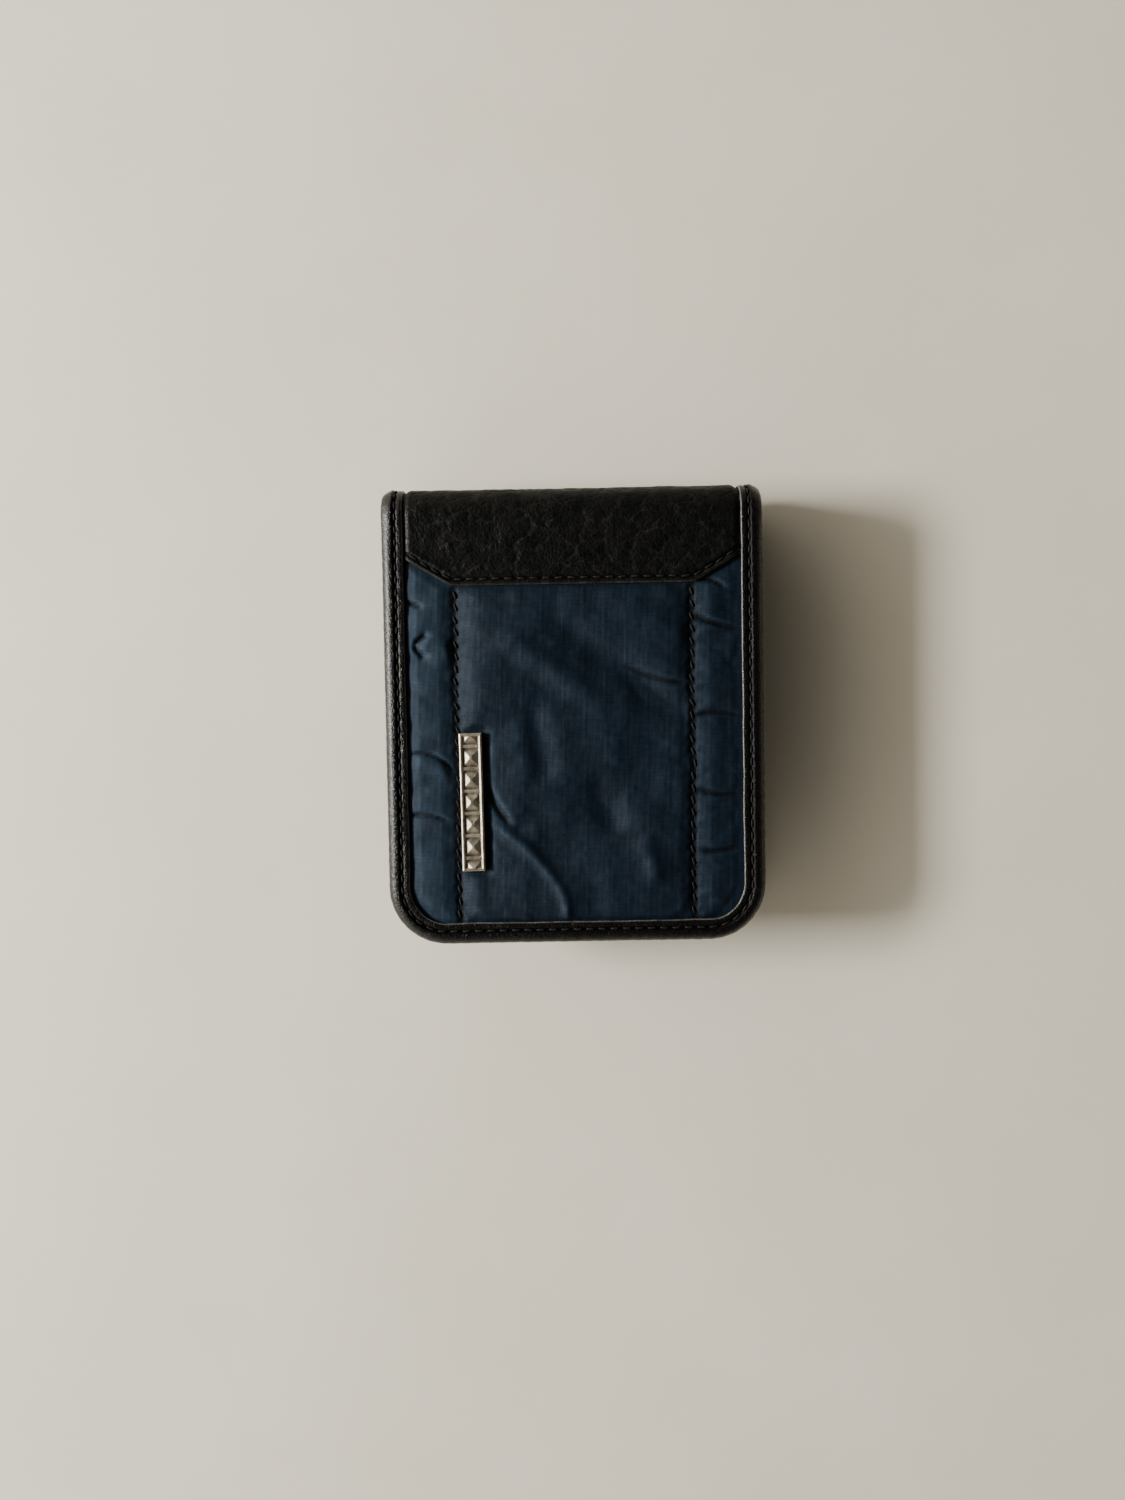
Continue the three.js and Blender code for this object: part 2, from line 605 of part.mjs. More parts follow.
// The flap that closes the coin pocket, hinged at the top of its root, with the snap's cap and socket.
function coinFlap() {
  const group = new THREE.Group();
  // Drawn with its tip at low y, then turned so that the tip points at -X.
  const shape = sheetShape(-FLAP_Y[1], -FLAP_Y[0], COIN_X[1] - FLAP.length, COIN_X[1], FLAP.corner);
  const hole = rod(SNAP_POST.hole, SNAP_X, SNAP_Y, [0, THICKNESS]);
  const sheet = (range) => cut(slab(shape, range).rotateZ(-Math.PI / 2), hole);
  const socketLow = WALL_Z[1] + GAP / 2 + STUD.thickness + CUT_GAP;
  const socket = cut(
    rod(SOCKET.radius, SNAP_X, SNAP_Y, [socketLow, FLAP_LINING_Z[0] - GAP], 24),
    rod(SOCKET.bore, SNAP_X, SNAP_Y, [0, THICKNESS], 24),
  );
  const profile = [
    [0, 0],
    [CAP.radius, 0],
    [CAP.radius, CAP.rim],
    [SOCKET.radius, CAP.shoulder],
    [0, CAP.height],
  ];
  const dome = new THREE.LatheGeometry(profile.map(([r, z]) => new THREE.Vector2(r, z)), 24);
  dome.rotateX(Math.PI / 2).translate(SNAP_X, SNAP_Y, CAP_Z[0]);
  const post = rod(SNAP_POST.radius, SNAP_X, SNAP_Y, [FLAP_LINING_Z[0], CAP_Z[0] + CAP.rim], 12);
  group.add(
    node("coin_flap", "leather", sheet(FLAP_Z)),
    node("coin_flap_lining", "lining", sheet(FLAP_LINING_Z)),
    node("snap_socket", "metal", socket),
    node("snap_cap", "metal", join(dome, post)),
  );
  return group;
}

function spine() {
  const group = new THREE.Group();
  const path = spineEdge();
  const leather = join(
    across(spineBand([YOKE_D[0], NYLON_D[1]]), -INSIDE_X, INSIDE_X),
    across(spineBand(NYLON_D), -SHEET_X, SHEET_X),
  );
  const right = new THREE.Group();
  right.scale.x = -1; // the right end is the left end mirrored
  right.add(
    node("spine_binding_right", "leather", sweep(bindingSection(), path, LEFT, SPINE_UP)),
    node("spine_thread_right", "thread", sweep(THREAD_SECTION, path, LEFT, SPINE_UP)),
  );
  group.add(
    node("spine_leather", "leather", leather),
    node("spine_lining", "lining", across(spineBand(LINING_D), -SHEET_X, SHEET_X)),
    node("spine_inner_panel", "lining", across(spineBand(PANEL_D), -SHEET_X, INSIDE_X)),
    node("spine_binding_left", "leather", sweep(bindingSection(), path, LEFT, SPINE_UP)),
    node("spine_thread_left", "thread", sweep(THREAD_SECTION, path, LEFT, SPINE_UP)),
    right,
  );
  return group;
}

// The middle leaf: card pockets below its core, and a clear window in a leather frame above it.
function middleLeaf() {
  const group = new THREE.Group();
  const { width, wall, chamfer } = LEAF_BAND;
  const x = HALF - LEAF_INSET;
  const low = EDGE_LOW + LEAF_END_INSET;
  const root = [LEAF_ROOT_Y - HINGE_STRIP, LEAF_ROOT_Y];
  const end = root[0] - CUT_GAP;
  const web = wall + CUT_GAP;
  const core = sheetShape(web - x, x - web, low + web, end, LEAF_CORNER_R - web);
  const slot = LEAF_CORE / 2 + GAP;
  const height = slot + wall;
  const section = [
    [0, height / 2],
    [-chamfer, height],
    [-width, height],
    [-width, slot],
    [-wall, slot],
    [-wall, -slot],
    [-width, -slot],
    [-width, -height],
    [-chamfer, -height],
    [0, -height / 2],
  ];
  const path = new SteppedPath(edgeRuns(x, low, end, LEAF_CORNER_R, (CORE_Z[0] + CORE_Z[1]) / 2));
  const inX = x - width - CUT_GAP;
  const inLow = low + width + CUT_GAP;
  const inEnd = end - CUT_GAP;
  const inset = (by, radius) => sheetShape(by - inX, inX - by, inLow + by, inEnd - by, radius);
  const frame = inset(0, LEAF_CORNER_R - width);
  frame.holes.push(inset(WINDOW_BORDER, WINDOW_CORNER_R));
  group.add(
    node("leaf_core", "lining", slab(core, CORE_Z)),
    node("leaf_edge_band", "leather", sweep(section, path, LEFT, Z_AXIS)),
    node("leaf_hinge_strip", "leather", box([-INSIDE_X, INSIDE_X], root, CORE_Z)),
    node("leaf_window_frame", "leather", slab(frame, FRAME_Z)),
    node("leaf_window_pane", "pane", slab(inset(PANE_INSET, WINDOW_CORNER_R), PANE_Z)),
  );
  for (let i = 0; i < LEAF_POCKETS; i++) {
    const strip = cardPocket(i, -inX, inLow, inEnd, LEAF_CORNER_R - width, leafPocketZ(LEAF_POCKETS - 1 - i));
    group.add(node(`leaf_card_pocket_${i + 1}`, "leather", strip));
  }
  return group;
}

const wallet = new THREE.Group();
wallet.add(backCover(), spine(), frontCover(), middleLeaf(), coinFlap());

export default wallet;
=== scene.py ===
"""The looks of a folding wallet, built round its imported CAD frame. Shapes are worked out in millimetres.

Everything that a cover holds is drawn as a flat pattern: x across the cover, s along it towards the spine
(0 where the fold starts to bend) and d the depth below the outer face. roll() then bends the pattern over
the fold, so leather, binding, thread and linings stay nested all the way round.
"""

import math

import bmesh
import bpy
import numpy as np
from mathutils import Matrix, Vector


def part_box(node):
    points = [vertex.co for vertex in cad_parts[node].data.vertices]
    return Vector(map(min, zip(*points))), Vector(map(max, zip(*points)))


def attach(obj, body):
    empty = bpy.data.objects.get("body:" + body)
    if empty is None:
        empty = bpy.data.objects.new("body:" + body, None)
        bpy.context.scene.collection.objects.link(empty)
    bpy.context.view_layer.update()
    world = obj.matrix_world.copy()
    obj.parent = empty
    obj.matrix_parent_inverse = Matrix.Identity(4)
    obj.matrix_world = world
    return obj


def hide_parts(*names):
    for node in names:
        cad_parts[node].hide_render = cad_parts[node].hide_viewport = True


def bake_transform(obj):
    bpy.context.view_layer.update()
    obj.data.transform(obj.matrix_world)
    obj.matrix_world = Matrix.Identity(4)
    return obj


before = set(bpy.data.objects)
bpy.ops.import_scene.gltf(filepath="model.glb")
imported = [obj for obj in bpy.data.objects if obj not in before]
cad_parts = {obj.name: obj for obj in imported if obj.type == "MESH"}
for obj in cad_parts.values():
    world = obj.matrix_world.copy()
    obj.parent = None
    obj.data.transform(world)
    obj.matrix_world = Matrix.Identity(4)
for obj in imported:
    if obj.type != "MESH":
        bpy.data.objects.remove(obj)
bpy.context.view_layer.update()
MM = 0.001


def span(node):
    """(lowest, highest) corner of a CAD node at rest, in millimetres."""
    low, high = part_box(node)
    return np.array(low) / MM, np.array(high) / MM


# ---- Sizes, from the frame where it has them ----

HALF = span("front_binding")[1][0]
LOW_Y = span("front_binding")[0][1]
SPINE_Y = span("spine_leather")[1][1]
THICK = span("front_binding")[1][2]
FOLD_R = 7.0  # radius of the fold's bend, on the outer face
FOLD_Y = SPINE_Y - FOLD_R
ARC = FOLD_R * math.pi / 2
LOW_S = LOW_Y - FOLD_Y
MID_S = ARC + THICK / 2 - FOLD_R  # the middle of the spine
CORNER_R = 14.5
BAND = 5.5  # the binding's width on the face
FACE_X = HALF - BAND
SHEET_X = span("back_nylon_panel")[1][0]
SHEET_S = span("back_nylon_panel")[0][1] - FOLD_Y
SHEET_R = CORNER_R - (HALF - SHEET_X)
RIM = 5.2  # the binding's height, over both of its walls
SLOT = (0.9, 4.3)  # depths of the slot inside the binding
SLOT_U = 1.8  # how far in from the edge the slot starts
SEAM_X = span("back_seam_thread_right")[0][0] + 0.25
YOKE_S = span("back_yoke_leather")[0][1] - FOLD_Y
YOKE_RISE = 7.0  # how much the yoke's edge rises outside the seams
YOKE_CORNER_X = SEAM_X + 1
STITCH = 3.1  # stitch pitch
SEAT_U = 3.5  # how far in from the edge the binding is stitched
SEAT_D = 0.34  # depth of the binding's and the yoke's stitches
HEM = 1.6  # how far in from its edge the yoke is stitched


def depths(node):
    """The depths of a cover's sheet, from the back cover's node, where depth is height above the table."""
    low, high = span(node)
    return low[2], high[2]


NYLON_D = depths("back_nylon_panel")
LINING_D = (2.8, 3.1)
PANEL_D = (3.6, 4.1)

# ---- Flat patterns ----


def roll(x, s, d, front):
    """Places pattern points on a cover, bent over the fold and down to the spine's middle."""
    angle = np.clip(s, 0, ARC) / FOLD_R
    y = FOLD_Y + np.minimum(s, 0) + (FOLD_R - d) * np.sin(angle)
    z = FOLD_R - (FOLD_R - d) * np.cos(angle) + np.maximum(s - ARC, 0)
    return np.stack([x, y, THICK - z if front else z], -1)


def ripple(x, s, size, seed, octaves=3):
    """Smooth seeded noise from about -1 to 1, with features of the given size in millimetres."""
    rng = np.random.default_rng(seed)
    total = np.zeros(np.broadcast(x, s).shape)
    for octave in range(octaves):
        for _ in range(6):
            angle, phase = rng.uniform(0, 2 * math.pi, 2)
            k = 2 * math.pi * 2**octave / size * rng.uniform(0.7, 1.3)
            total += np.sin(k * (x * math.cos(angle) + s * math.sin(angle)) + phase) / 2**octave
    return total / 5


def smooth(value, start, end):
    """0 at start and 1 at end, with a soft rise between."""
    t = np.clip((value - start) / (end - start), 0, 1)
    return t * t * (3 - 2 * t)


def spaced(low, high, step, edges=(0.0, 0.06, 0.16, 0.32, 0.6)):
    """Places from low to high, close together at both edges."""
    edges = np.array(edges)
    count = max(2, int((high - low - 2 * edges[-1]) / step) + 1)
    middle = np.linspace(low + edges[-1], high - edges[-1], count)
    return np.concatenate([low + edges[:-1], middle, high - edges[:-1][::-1]])


def corner_cut(radius, into):
    """How far a rounded corner draws an edge in, at a distance into the corner."""
    return radius - np.sqrt(np.maximum(radius**2 - np.clip(into, 0, radius) ** 2, 0))


def lengths(points):
    """The distance along a line to each of its points."""
    steps = np.linalg.norm(np.diff(points, axis=0), axis=1)
    return np.concatenate([[0], np.cumsum(steps)])


def at_length(u, reach, points):
    """The points of a line at the distances u along it, on a new last axis."""
    return np.stack([np.interp(u, reach, points[:, k]) for k in range(points.shape[1])], -1)


class Outline:
    """A rectangle in pattern space with rounded corners at its low end.

    open_end says that the sheet goes on past the high end, so nothing is rounded off there.
    """

    def __init__(self, x0, x1, s0, s1, r0=0.0, r1=None, open_end=False):
        self.x0, self.x1, self.s0, self.s1 = x0, x1, s0, s1
        self.r = (r0, r0 if r1 is None else r1)
        self.open_end = open_end

    def grid(self, step):
        """x and s of a grid that fills the outline."""
        s = spaced(self.s0, self.s1, step)
        share = (spaced(self.x0, self.x1, step) - self.x0) / (self.x1 - self.x0)
        cut = [corner_cut(r, self.s0 + r - s) for r in self.r]
        left, right = self.x0 + cut[0], self.x1 - cut[1]
        return left + (right - left) * share[:, None], np.broadcast_to(s, (len(share), len(s)))

    def inset(self, x, s):
        """How far inside the outline each point is."""
        on_left = x < (self.x0 + self.x1) / 2
        r = np.where(on_left, *self.r)
        out = np.where(on_left, self.x0 + r - x, x - self.x1 + r)
        down = self.s0 + r - s
        sides = np.minimum(np.minimum(x - self.x0, self.x1 - x), s - self.s0)
        if not self.open_end:
            sides = np.minimum(sides, self.s1 - s)
        return np.where((out > 0) & (down > 0), r - np.hypot(out, down), sides)


def show(name, data):
    """A new object in the scene."""
    made = bpy.data.objects.new(name, data)
    bpy.context.scene.collection.objects.link(made)
    return made


def mark(piece, name, values):
    """Stores one number for each point, which a material reads by this name."""
    attribute = piece.data.attributes.new(name, "FLOAT", "POINT")
    attribute.data.foreach_set("value", np.ravel(values).astype(np.float32))


def link(name, points, faces, pattern=None):
    """A mesh object from points in millimetres. The pattern attribute holds the flat pattern, in metres."""
    mesh = bpy.data.meshes.new(name)
    mesh.from_pydata((np.asarray(points) * MM).tolist(), [], faces)
    flat = np.asarray(points if pattern is None else pattern, float) * MM
    attribute = mesh.attributes.new("pattern", "FLOAT_VECTOR", "POINT")
    attribute.data.foreach_set("vector", flat.astype(np.float32).ravel())
    fix = bmesh.new()
    fix.from_mesh(mesh)
    bmesh.ops.recalc_face_normals(fix, faces=fix.faces)
    fix.to_mesh(mesh)
    fix.free()
    mesh.shade_smooth()
    return show(name, mesh)


def grid_faces(rows, columns, offset=0, wrap=False):
    """Quads of a grid of points; wrap joins the last column to the first."""
    across = columns if wrap else columns - 1
    i, j = np.meshgrid(np.arange(rows - 1), np.arange(across), indexing="ij")
    a, b = i * columns + j, i * columns + (j + 1) % columns
    return (np.stack([a, b, b + columns, a + columns], -1).reshape(-1, 4) + offset).tolist()


def closed_sheet(name, x, s, outer, inner, place):
    """A closed sheet between two faces given as depths over one grid. place(x, s, d) gives its points."""
    rows, columns = x.shape
    count = rows * columns
    faces = grid_faces(rows, columns) + grid_faces(rows, columns, count)
    index = np.arange(count).reshape(rows, columns)
    ring = np.concatenate([index[:-1, 0], index[-1, :-1], index[:0:-1, -1], index[0, :0:-1]])
    faces += [[a, b, b + count, a + count] for a, b in zip(ring.tolist(), np.roll(ring, -1).tolist())]
    points = np.concatenate([place(x, s, d).reshape(-1, 3) for d in (outer, inner)])
    flat = np.concatenate([np.stack([x, s, d], -1).reshape(-1, 3) for d in (outer, inner)])
    return link(name, points, faces, flat)


def round_edge(inset, half):
    """How far a face draws back where the sheet's edge rounds off over half its thickness."""
    t = np.clip(1 - inset / half, 0, 1)
    return half * (1 - np.sqrt(1 - t * t))


def leather_sheet(name, outline, levels, place, step, relief=None, back_relief=None):
    """A sheet with soft round edges.

    relief(x, s, inset) raises its outer face and back_relief its inner face.
    """
    x, s = outline.grid(step)
    inset = outline.inset(x, s)
    low, high = levels
    back = round_edge(inset, (high - low) / 2)
    fade = np.clip(inset / 0.6, 0, 1)
    outer = low + back - (relief(x, s, inset) * fade if relief else 0)
    inner = high - back + (back_relief(x, s, inset) * fade if back_relief else 0)
    return closed_sheet(name, x, s, outer, inner, place)


# ---- Stitches ----


def along(path, pitch):
    """Middles and directions of stitches laid along a polyline of pattern points."""
    path = np.asarray(path, float)
    reach = lengths(path)
    count = int(reach[-1] / pitch)
    at = (np.arange(count) + 0.5) * reach[-1] / max(count, 1)
    ahead = at_length(np.minimum(at + 0.2, reach[-1]), reach, path)
    direction = ahead - at_length(np.maximum(at - 0.2, 0), reach, path)
    return at_length(at, reach, path), direction / np.linalg.norm(direction, axis=1)[:, None]


def stitch_row(
    name, path, depth, place, length=2.5, radius=0.21, pitch=STITCH, wander=0.0, sign=1.0, seed=1
):
    """A row of separate stitches of two-ply thread, each diving into its holes.

    sign -1 puts them on the inner face, and wander is how far each strays from the path.
    """
    middle, direction = along(path, pitch)
    rng = np.random.default_rng(seed)
    rings, sides = 11, 8
    t = np.linspace(-1, 1, rings)
    fan = np.arange(sides) * 2 * math.pi / sides
    points, flat, faces = [], [], []
    for (px, ps), (dx, ds) in zip(middle, direction):
        lean, shift = rng.normal(0, 0.05), rng.normal(0, wander)
        ux, us = dx - lean * ds, ds + lean * dx
        thick = radius * np.sqrt(np.clip(1 - t**8, 0.02, 1))
        ply = 1 + 0.13 * np.cos(2 * fan[None] - 5 * t[:, None])
        across = thick[:, None] * ply * np.cos(fan)
        lift = thick[:, None] * ply * np.sin(fan) - (np.abs(t) ** 3 * 2.2 * radius)[:, None]
        x = px + ux * t[:, None] * length / 2 - ds * shift - us * across
        s = ps + us * t[:, None] * length / 2 + dx * shift + ux * across
        d = depth - sign * lift
        base = len(points) * rings * sides
        last = base + (rings - 1) * sides
        faces += grid_faces(rings, sides, base, wrap=True)
        faces += [list(range(base, base + sides)), list(range(last, last + sides))]
        points.append(place(x, s, d).reshape(-1, 3))
        flat.append(np.stack([x, s, d], -1).reshape(-1, 3))
    return link(name, np.concatenate(points), faces, np.concatenate(flat))


# ---- Swept and turned shapes ----


def edge_path(half, low, high, radius, step):
    """A cover's or leaf's edge: points (x, s) with their unit directions inwards, and lengths along it."""
    side = np.linspace(0, 1, max(2, int((high - low - radius) / step)))
    turn = np.linspace(0, math.pi / 2, max(4, int(radius * math.pi / 2 / step)))
    base = np.linspace(-1, 1, max(2, int(2 * (half - radius) / step)))
    down = [(-half, high + (low + radius - high) * t, 1, 0) for t in side[:-1]]
    corner = [(-half + radius * (1 - math.cos(a)), low + radius * (1 - math.sin(a)), a) for a in turn]
    left = [(x, s, math.cos(a), math.sin(a)) for x, s, a in corner]
    along_base = [(t * (half - radius), low, 0, 1) for t in base[1:-1]]
    right = [(-x, s, -ux, us) for x, s, ux, us in (down + left)[::-1]]
    rows = np.array(down + left + along_base + right)
    return rows, lengths(rows[:, :2])


def swept(name, path, section, place):
    """Sweeps a closed section along an edge path. It has a row of (inset, depth) for each of its points."""
    rows, columns = section.shape[:2]
    x = path[:, None, 0] + path[:, None, 2] * section[..., 0]
    s = path[:, None, 1] + path[:, None, 3] * section[..., 0]
    points = place(x, s, section[..., 1])
    faces = grid_faces(rows, columns, wrap=True)
    faces += [list(range(columns)), list(range((rows - 1) * columns, rows * columns))]
    flat = np.stack([x, s, section[..., 1]], -1)
    return link(name, points.reshape(-1, 3), faces, flat.reshape(-1, 3))


def lathe(name, profile, centre, sides=48):
    """Turns a closed profile of (radius, z) about an upright axis. Points on the axis are shared."""
    fan = np.arange(sides) * 2 * math.pi / sides
    build = bmesh.new()
    rings = []
    for radius, z in profile:
        if radius == 0:
            rings.append([build.verts.new((centre[0] * MM, centre[1] * MM, z * MM))] * sides)
        else:
            ring = [(centre[0] + radius * math.cos(a), centre[1] + radius * math.sin(a), z) for a in fan]
            rings.append([build.verts.new(Vector(point) * MM) for point in ring])
    closed = profile[0][0] > 0
    pairs = list(zip(rings, rings[1:] + rings[:1])) if closed else list(zip(rings, rings[1:]))
    for low, high in pairs:
        for i in range(sides):
            corners = dict.fromkeys([low[i], low[(i + 1) % sides], high[(i + 1) % sides], high[i]])
            if len(corners) > 2:
                build.faces.new(list(corners))
    bmesh.ops.recalc_face_normals(build, faces=build.faces)
    mesh = bpy.data.meshes.new(name)
    build.to_mesh(mesh)
    build.free()
    mesh.shade_smooth()
    return show(name, mesh)


def dome(radius, height, steps=10):
    """Profile points of a shallow dome, from its rim to its top."""
    angles = np.linspace(0, math.pi / 2, steps)
    return [(radius * math.cos(a) if a < angles[-1] else 0, height * math.sin(a)) for a in angles]


# ---- Where the parts of a cover go ----


def on_cover(front):
    """roll() for one of the covers."""
    return lambda x, s, d: roll(x, s, d, front)


def plan(x, s, z):
    """Places a piece that lies level between the covers, with heights instead of depths."""
    return np.stack(np.broadcast_arrays(x, s + FOLD_Y, z), -1)


def on_leaf(x, s, z):
    """Places a piece of the middle leaf, which narrows a little towards its hinge to clear the bindings."""
    root = span("leaf_edge_band")[1][1] - FOLD_Y
    return plan(x * (1 - 0.04 * smooth(s, root - 10, root)), s, z)


def body_name(front):
    """The body that a cover's pieces ride."""
    return "front_cover" if front else "back_cover"


def bend_with_spine(piece):
    """Bakes a piece's transform into its mesh, where roll() has already bent it over the fold.
    """
    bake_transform(piece)


def finish_piece(piece, material, slot, *nodes):
    """Gives a piece its material and lets it stand for CAD nodes, which it hides. slot is not used."""
    piece.data.materials.append(material)
    if nodes:
        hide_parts(*nodes)
    return piece


def sewn(row, body, *nodes):
    """Finishes a row of stitches that rides one body."""
    finish_piece(row, DARK_THREAD, "thread", *nodes)
    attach(row, body)


def spine_nodes(front, *nodes):
    """The spine is shown in two halves; the front one stands for its CAD nodes."""
    return nodes if front else ()


# ---- Materials ----


class Nodes:
    """Short calls for building one node material, with coordinates in metres that stay on the surface."""

    def __init__(self, name, attribute="pattern"):
        self.material = bpy.data.materials.new(name)
        self.material.use_nodes = True
        self.tree = self.material.node_tree
        self.shader = self.tree.nodes["Principled BSDF"]
        if attribute:
            source = self.tree.nodes.new("ShaderNodeAttribute")
            source.attribute_name = attribute
            self.place = source.outputs["Vector"]
        else:
            self.place = self.tree.nodes.new("ShaderNodeTexCoord").outputs["Object"]

    def add(self, kind, settings=None, **inputs):
        """A new node with its settings and inputs."""
        node = self.tree.nodes.new("ShaderNode" + kind)
        for key, value in (settings or {}).items():
            setattr(node, key, value)
        for key, value in inputs.items():
            self.feed(node, key.replace("_", " "), value)
        return node

    def feed(self, node, key, value):
        """Links or sets one input, which is named, or numbered as in "in 0"."""
        socket = node.inputs[int(key[3:])] if key.startswith("in ") else node.inputs[key]
        if isinstance(value, bpy.types.NodeSocket):
            self.tree.links.new(value, socket)
        else:
            socket.default_value = value

    def shade(self, **inputs):
        """Sets inputs of the shader and gives back the material."""
        for key, value in inputs.items():
            self.feed(self.shader, key.replace("_", " "), value)
        return self.material

    def stretch(self, x, y, z=1.0, turn=0.0):
        """The coordinates times a scale, after a turn about the depth."""
        mapping = self.add("Mapping", Vector=self.place, Scale=(x, y, z), Rotation=(0, 0, turn))
        return mapping.outputs[0]

    def noise(self, per_metre, detail=4.0, rough=0.55, vector=None):
        """Soft cloudy noise around 0.5."""
        made = self.add("TexNoise", Vector=vector or self.place, Scale=per_metre, Detail=detail)
        made.inputs["Roughness"].default_value = rough
        return made.outputs["Fac"]

    def cells(self, per_metre, vector):
        """The distance to the edge of irregular cells, in cells."""
        settings = {"feature": "DISTANCE_TO_EDGE"}
        made = self.add("TexVoronoi", settings, Vector=vector, Scale=per_metre, Randomness=1.0)
        return made.outputs["Distance"]

    def bands(self, direction, pitch, distortion=0.0):
        """Even ridges across one axis, at a pitch in millimetres."""
        settings = {"bands_direction": direction}
        scale = math.pi / (10 * pitch * MM)
        made = self.add("TexWave", settings, Vector=self.place, Scale=scale, Distortion=distortion)
        return made.outputs["Fac"]

    def ramp(self, value, *stops):
        """Colours or grey levels at given values of the input."""
        made = self.add("ValToRGB", Fac=value)
        while len(made.color_ramp.elements) < len(stops):
            made.color_ramp.elements.new(0.5)
        for element, (at, colour) in zip(made.color_ramp.elements, stops):
            element.position = at
            level = (colour,) * 3 if isinstance(colour, (int, float)) else colour
            element.color = (*level, 1)
        return made.outputs["Color"]

    def maths(self, operation, a, b):
        """One sum on two numbers or sockets."""
        made = self.add("Math", {"operation": operation})
        self.feed(made, "in 0", a)
        self.feed(made, "in 1", b)
        return made.outputs[0]

    def mix(self, share, a, b):
        """A colour between a and b."""
        return self.add("MixRGB", Fac=share, Color1=a, Color2=b).outputs["Color"]

    def value(self, name):
        """A point attribute of the mesh as a number."""
        source = self.tree.nodes.new("ShaderNodeAttribute")
        source.attribute_name = name
        return source.outputs["Fac"]

    def bump(self, *layers):
        """Stacks heights given as (value, height in millimetres)."""
        normal = None
        for height, rise in layers:
            made = self.add("Bump", Strength=1.0, Distance=rise * MM, Height=height)
            if normal:
                self.feed(made, "Normal", normal)
            normal = made.outputs["Normal"]
        return normal


def colour(red, green, blue):
    """A colour given as 0-255 sRGB, as the shader wants it."""
    levels = [level / 255 for level in (red, green, blue)]
    return tuple(v / 12.92 if v <= 0.04045 else ((v + 0.055) / 1.055) ** 2.4 for v in levels) + (1,)


def leather_material(name, tone, pale, gloss, cell, grain, coat=0.0, shine=0.4):
    """Dyed leather: cells of grain, finer pores, painted shade in the low places and wear in patches."""
    n = Nodes(name)
    wobble = n.noise(420, 3.0)
    moved = n.add("VectorMath", {"operation": "MULTIPLY_ADD"})
    n.feed(moved, "in 0", n.place)
    n.feed(moved, "in 1", (1, 1, 1))
    nudge = n.add("VectorMath", {"operation": "SCALE"})
    n.feed(nudge, "in 0", n.add("TexNoise", Vector=n.place, Scale=900.0).outputs["Color"])
    nudge.inputs["Scale"].default_value = cell * MM * 0.5
    n.feed(moved, "in 2", nudge.outputs[0])
    pebble = n.cells(1 / (cell * MM), vector=moved.outputs[0])
    flat = n.ramp(pebble, (0.0, 0.0), (0.16, 0.75), (0.5, 1.0))
    fine = n.cells(3.4 / (cell * MM), vector=moved.outputs[0])
    pores = n.ramp(fine, (0.0, 0.2), (0.25, 1.0))
    layers = [(wobble, 0.12), (flat, grain), (pores, grain * 0.28)]
    tint = n.mix(n.ramp(n.noise(150, 5.0), (0.42, 0.0), (0.72, 1.0)), tone, pale)
    # Painted shade: the colour darkens in the low places between the grain cells.
    tint = n.mix(n.ramp(flat, (0.0, 0.7), (0.6, 0.0)), tint, (0.004, 0.004, 0.004, 1))
    # Paler where the cut attribute is set: bare cut edges, and on the yoke crease lines that are partly
    # wear and partly painted highlight.
    bare_and_highlit = n.maths("MULTIPLY", n.value("cut"), n.ramp(wobble, (0.3, 0.35), (0.6, 0.9)))
    tint = n.mix(bare_and_highlit, tint, colour(84, 83, 79))
    rough = n.ramp(n.noise(700, 4.0), (0.3, max(gloss - 0.1, 0.1)), (0.75, gloss + 0.12))
    open_share = n.maths("SUBTRACT", 1.0, n.value("recess"))
    n.shade(Base_Color=tint, Roughness=rough, Normal=n.bump(*layers), Coat_Roughness=0.28)
    n.shade(Coat_Weight=n.maths("MULTIPLY", open_share, coat))
    return n.shade(Specular_IOR_Level=n.maths("MULTIPLY", open_share, shine))


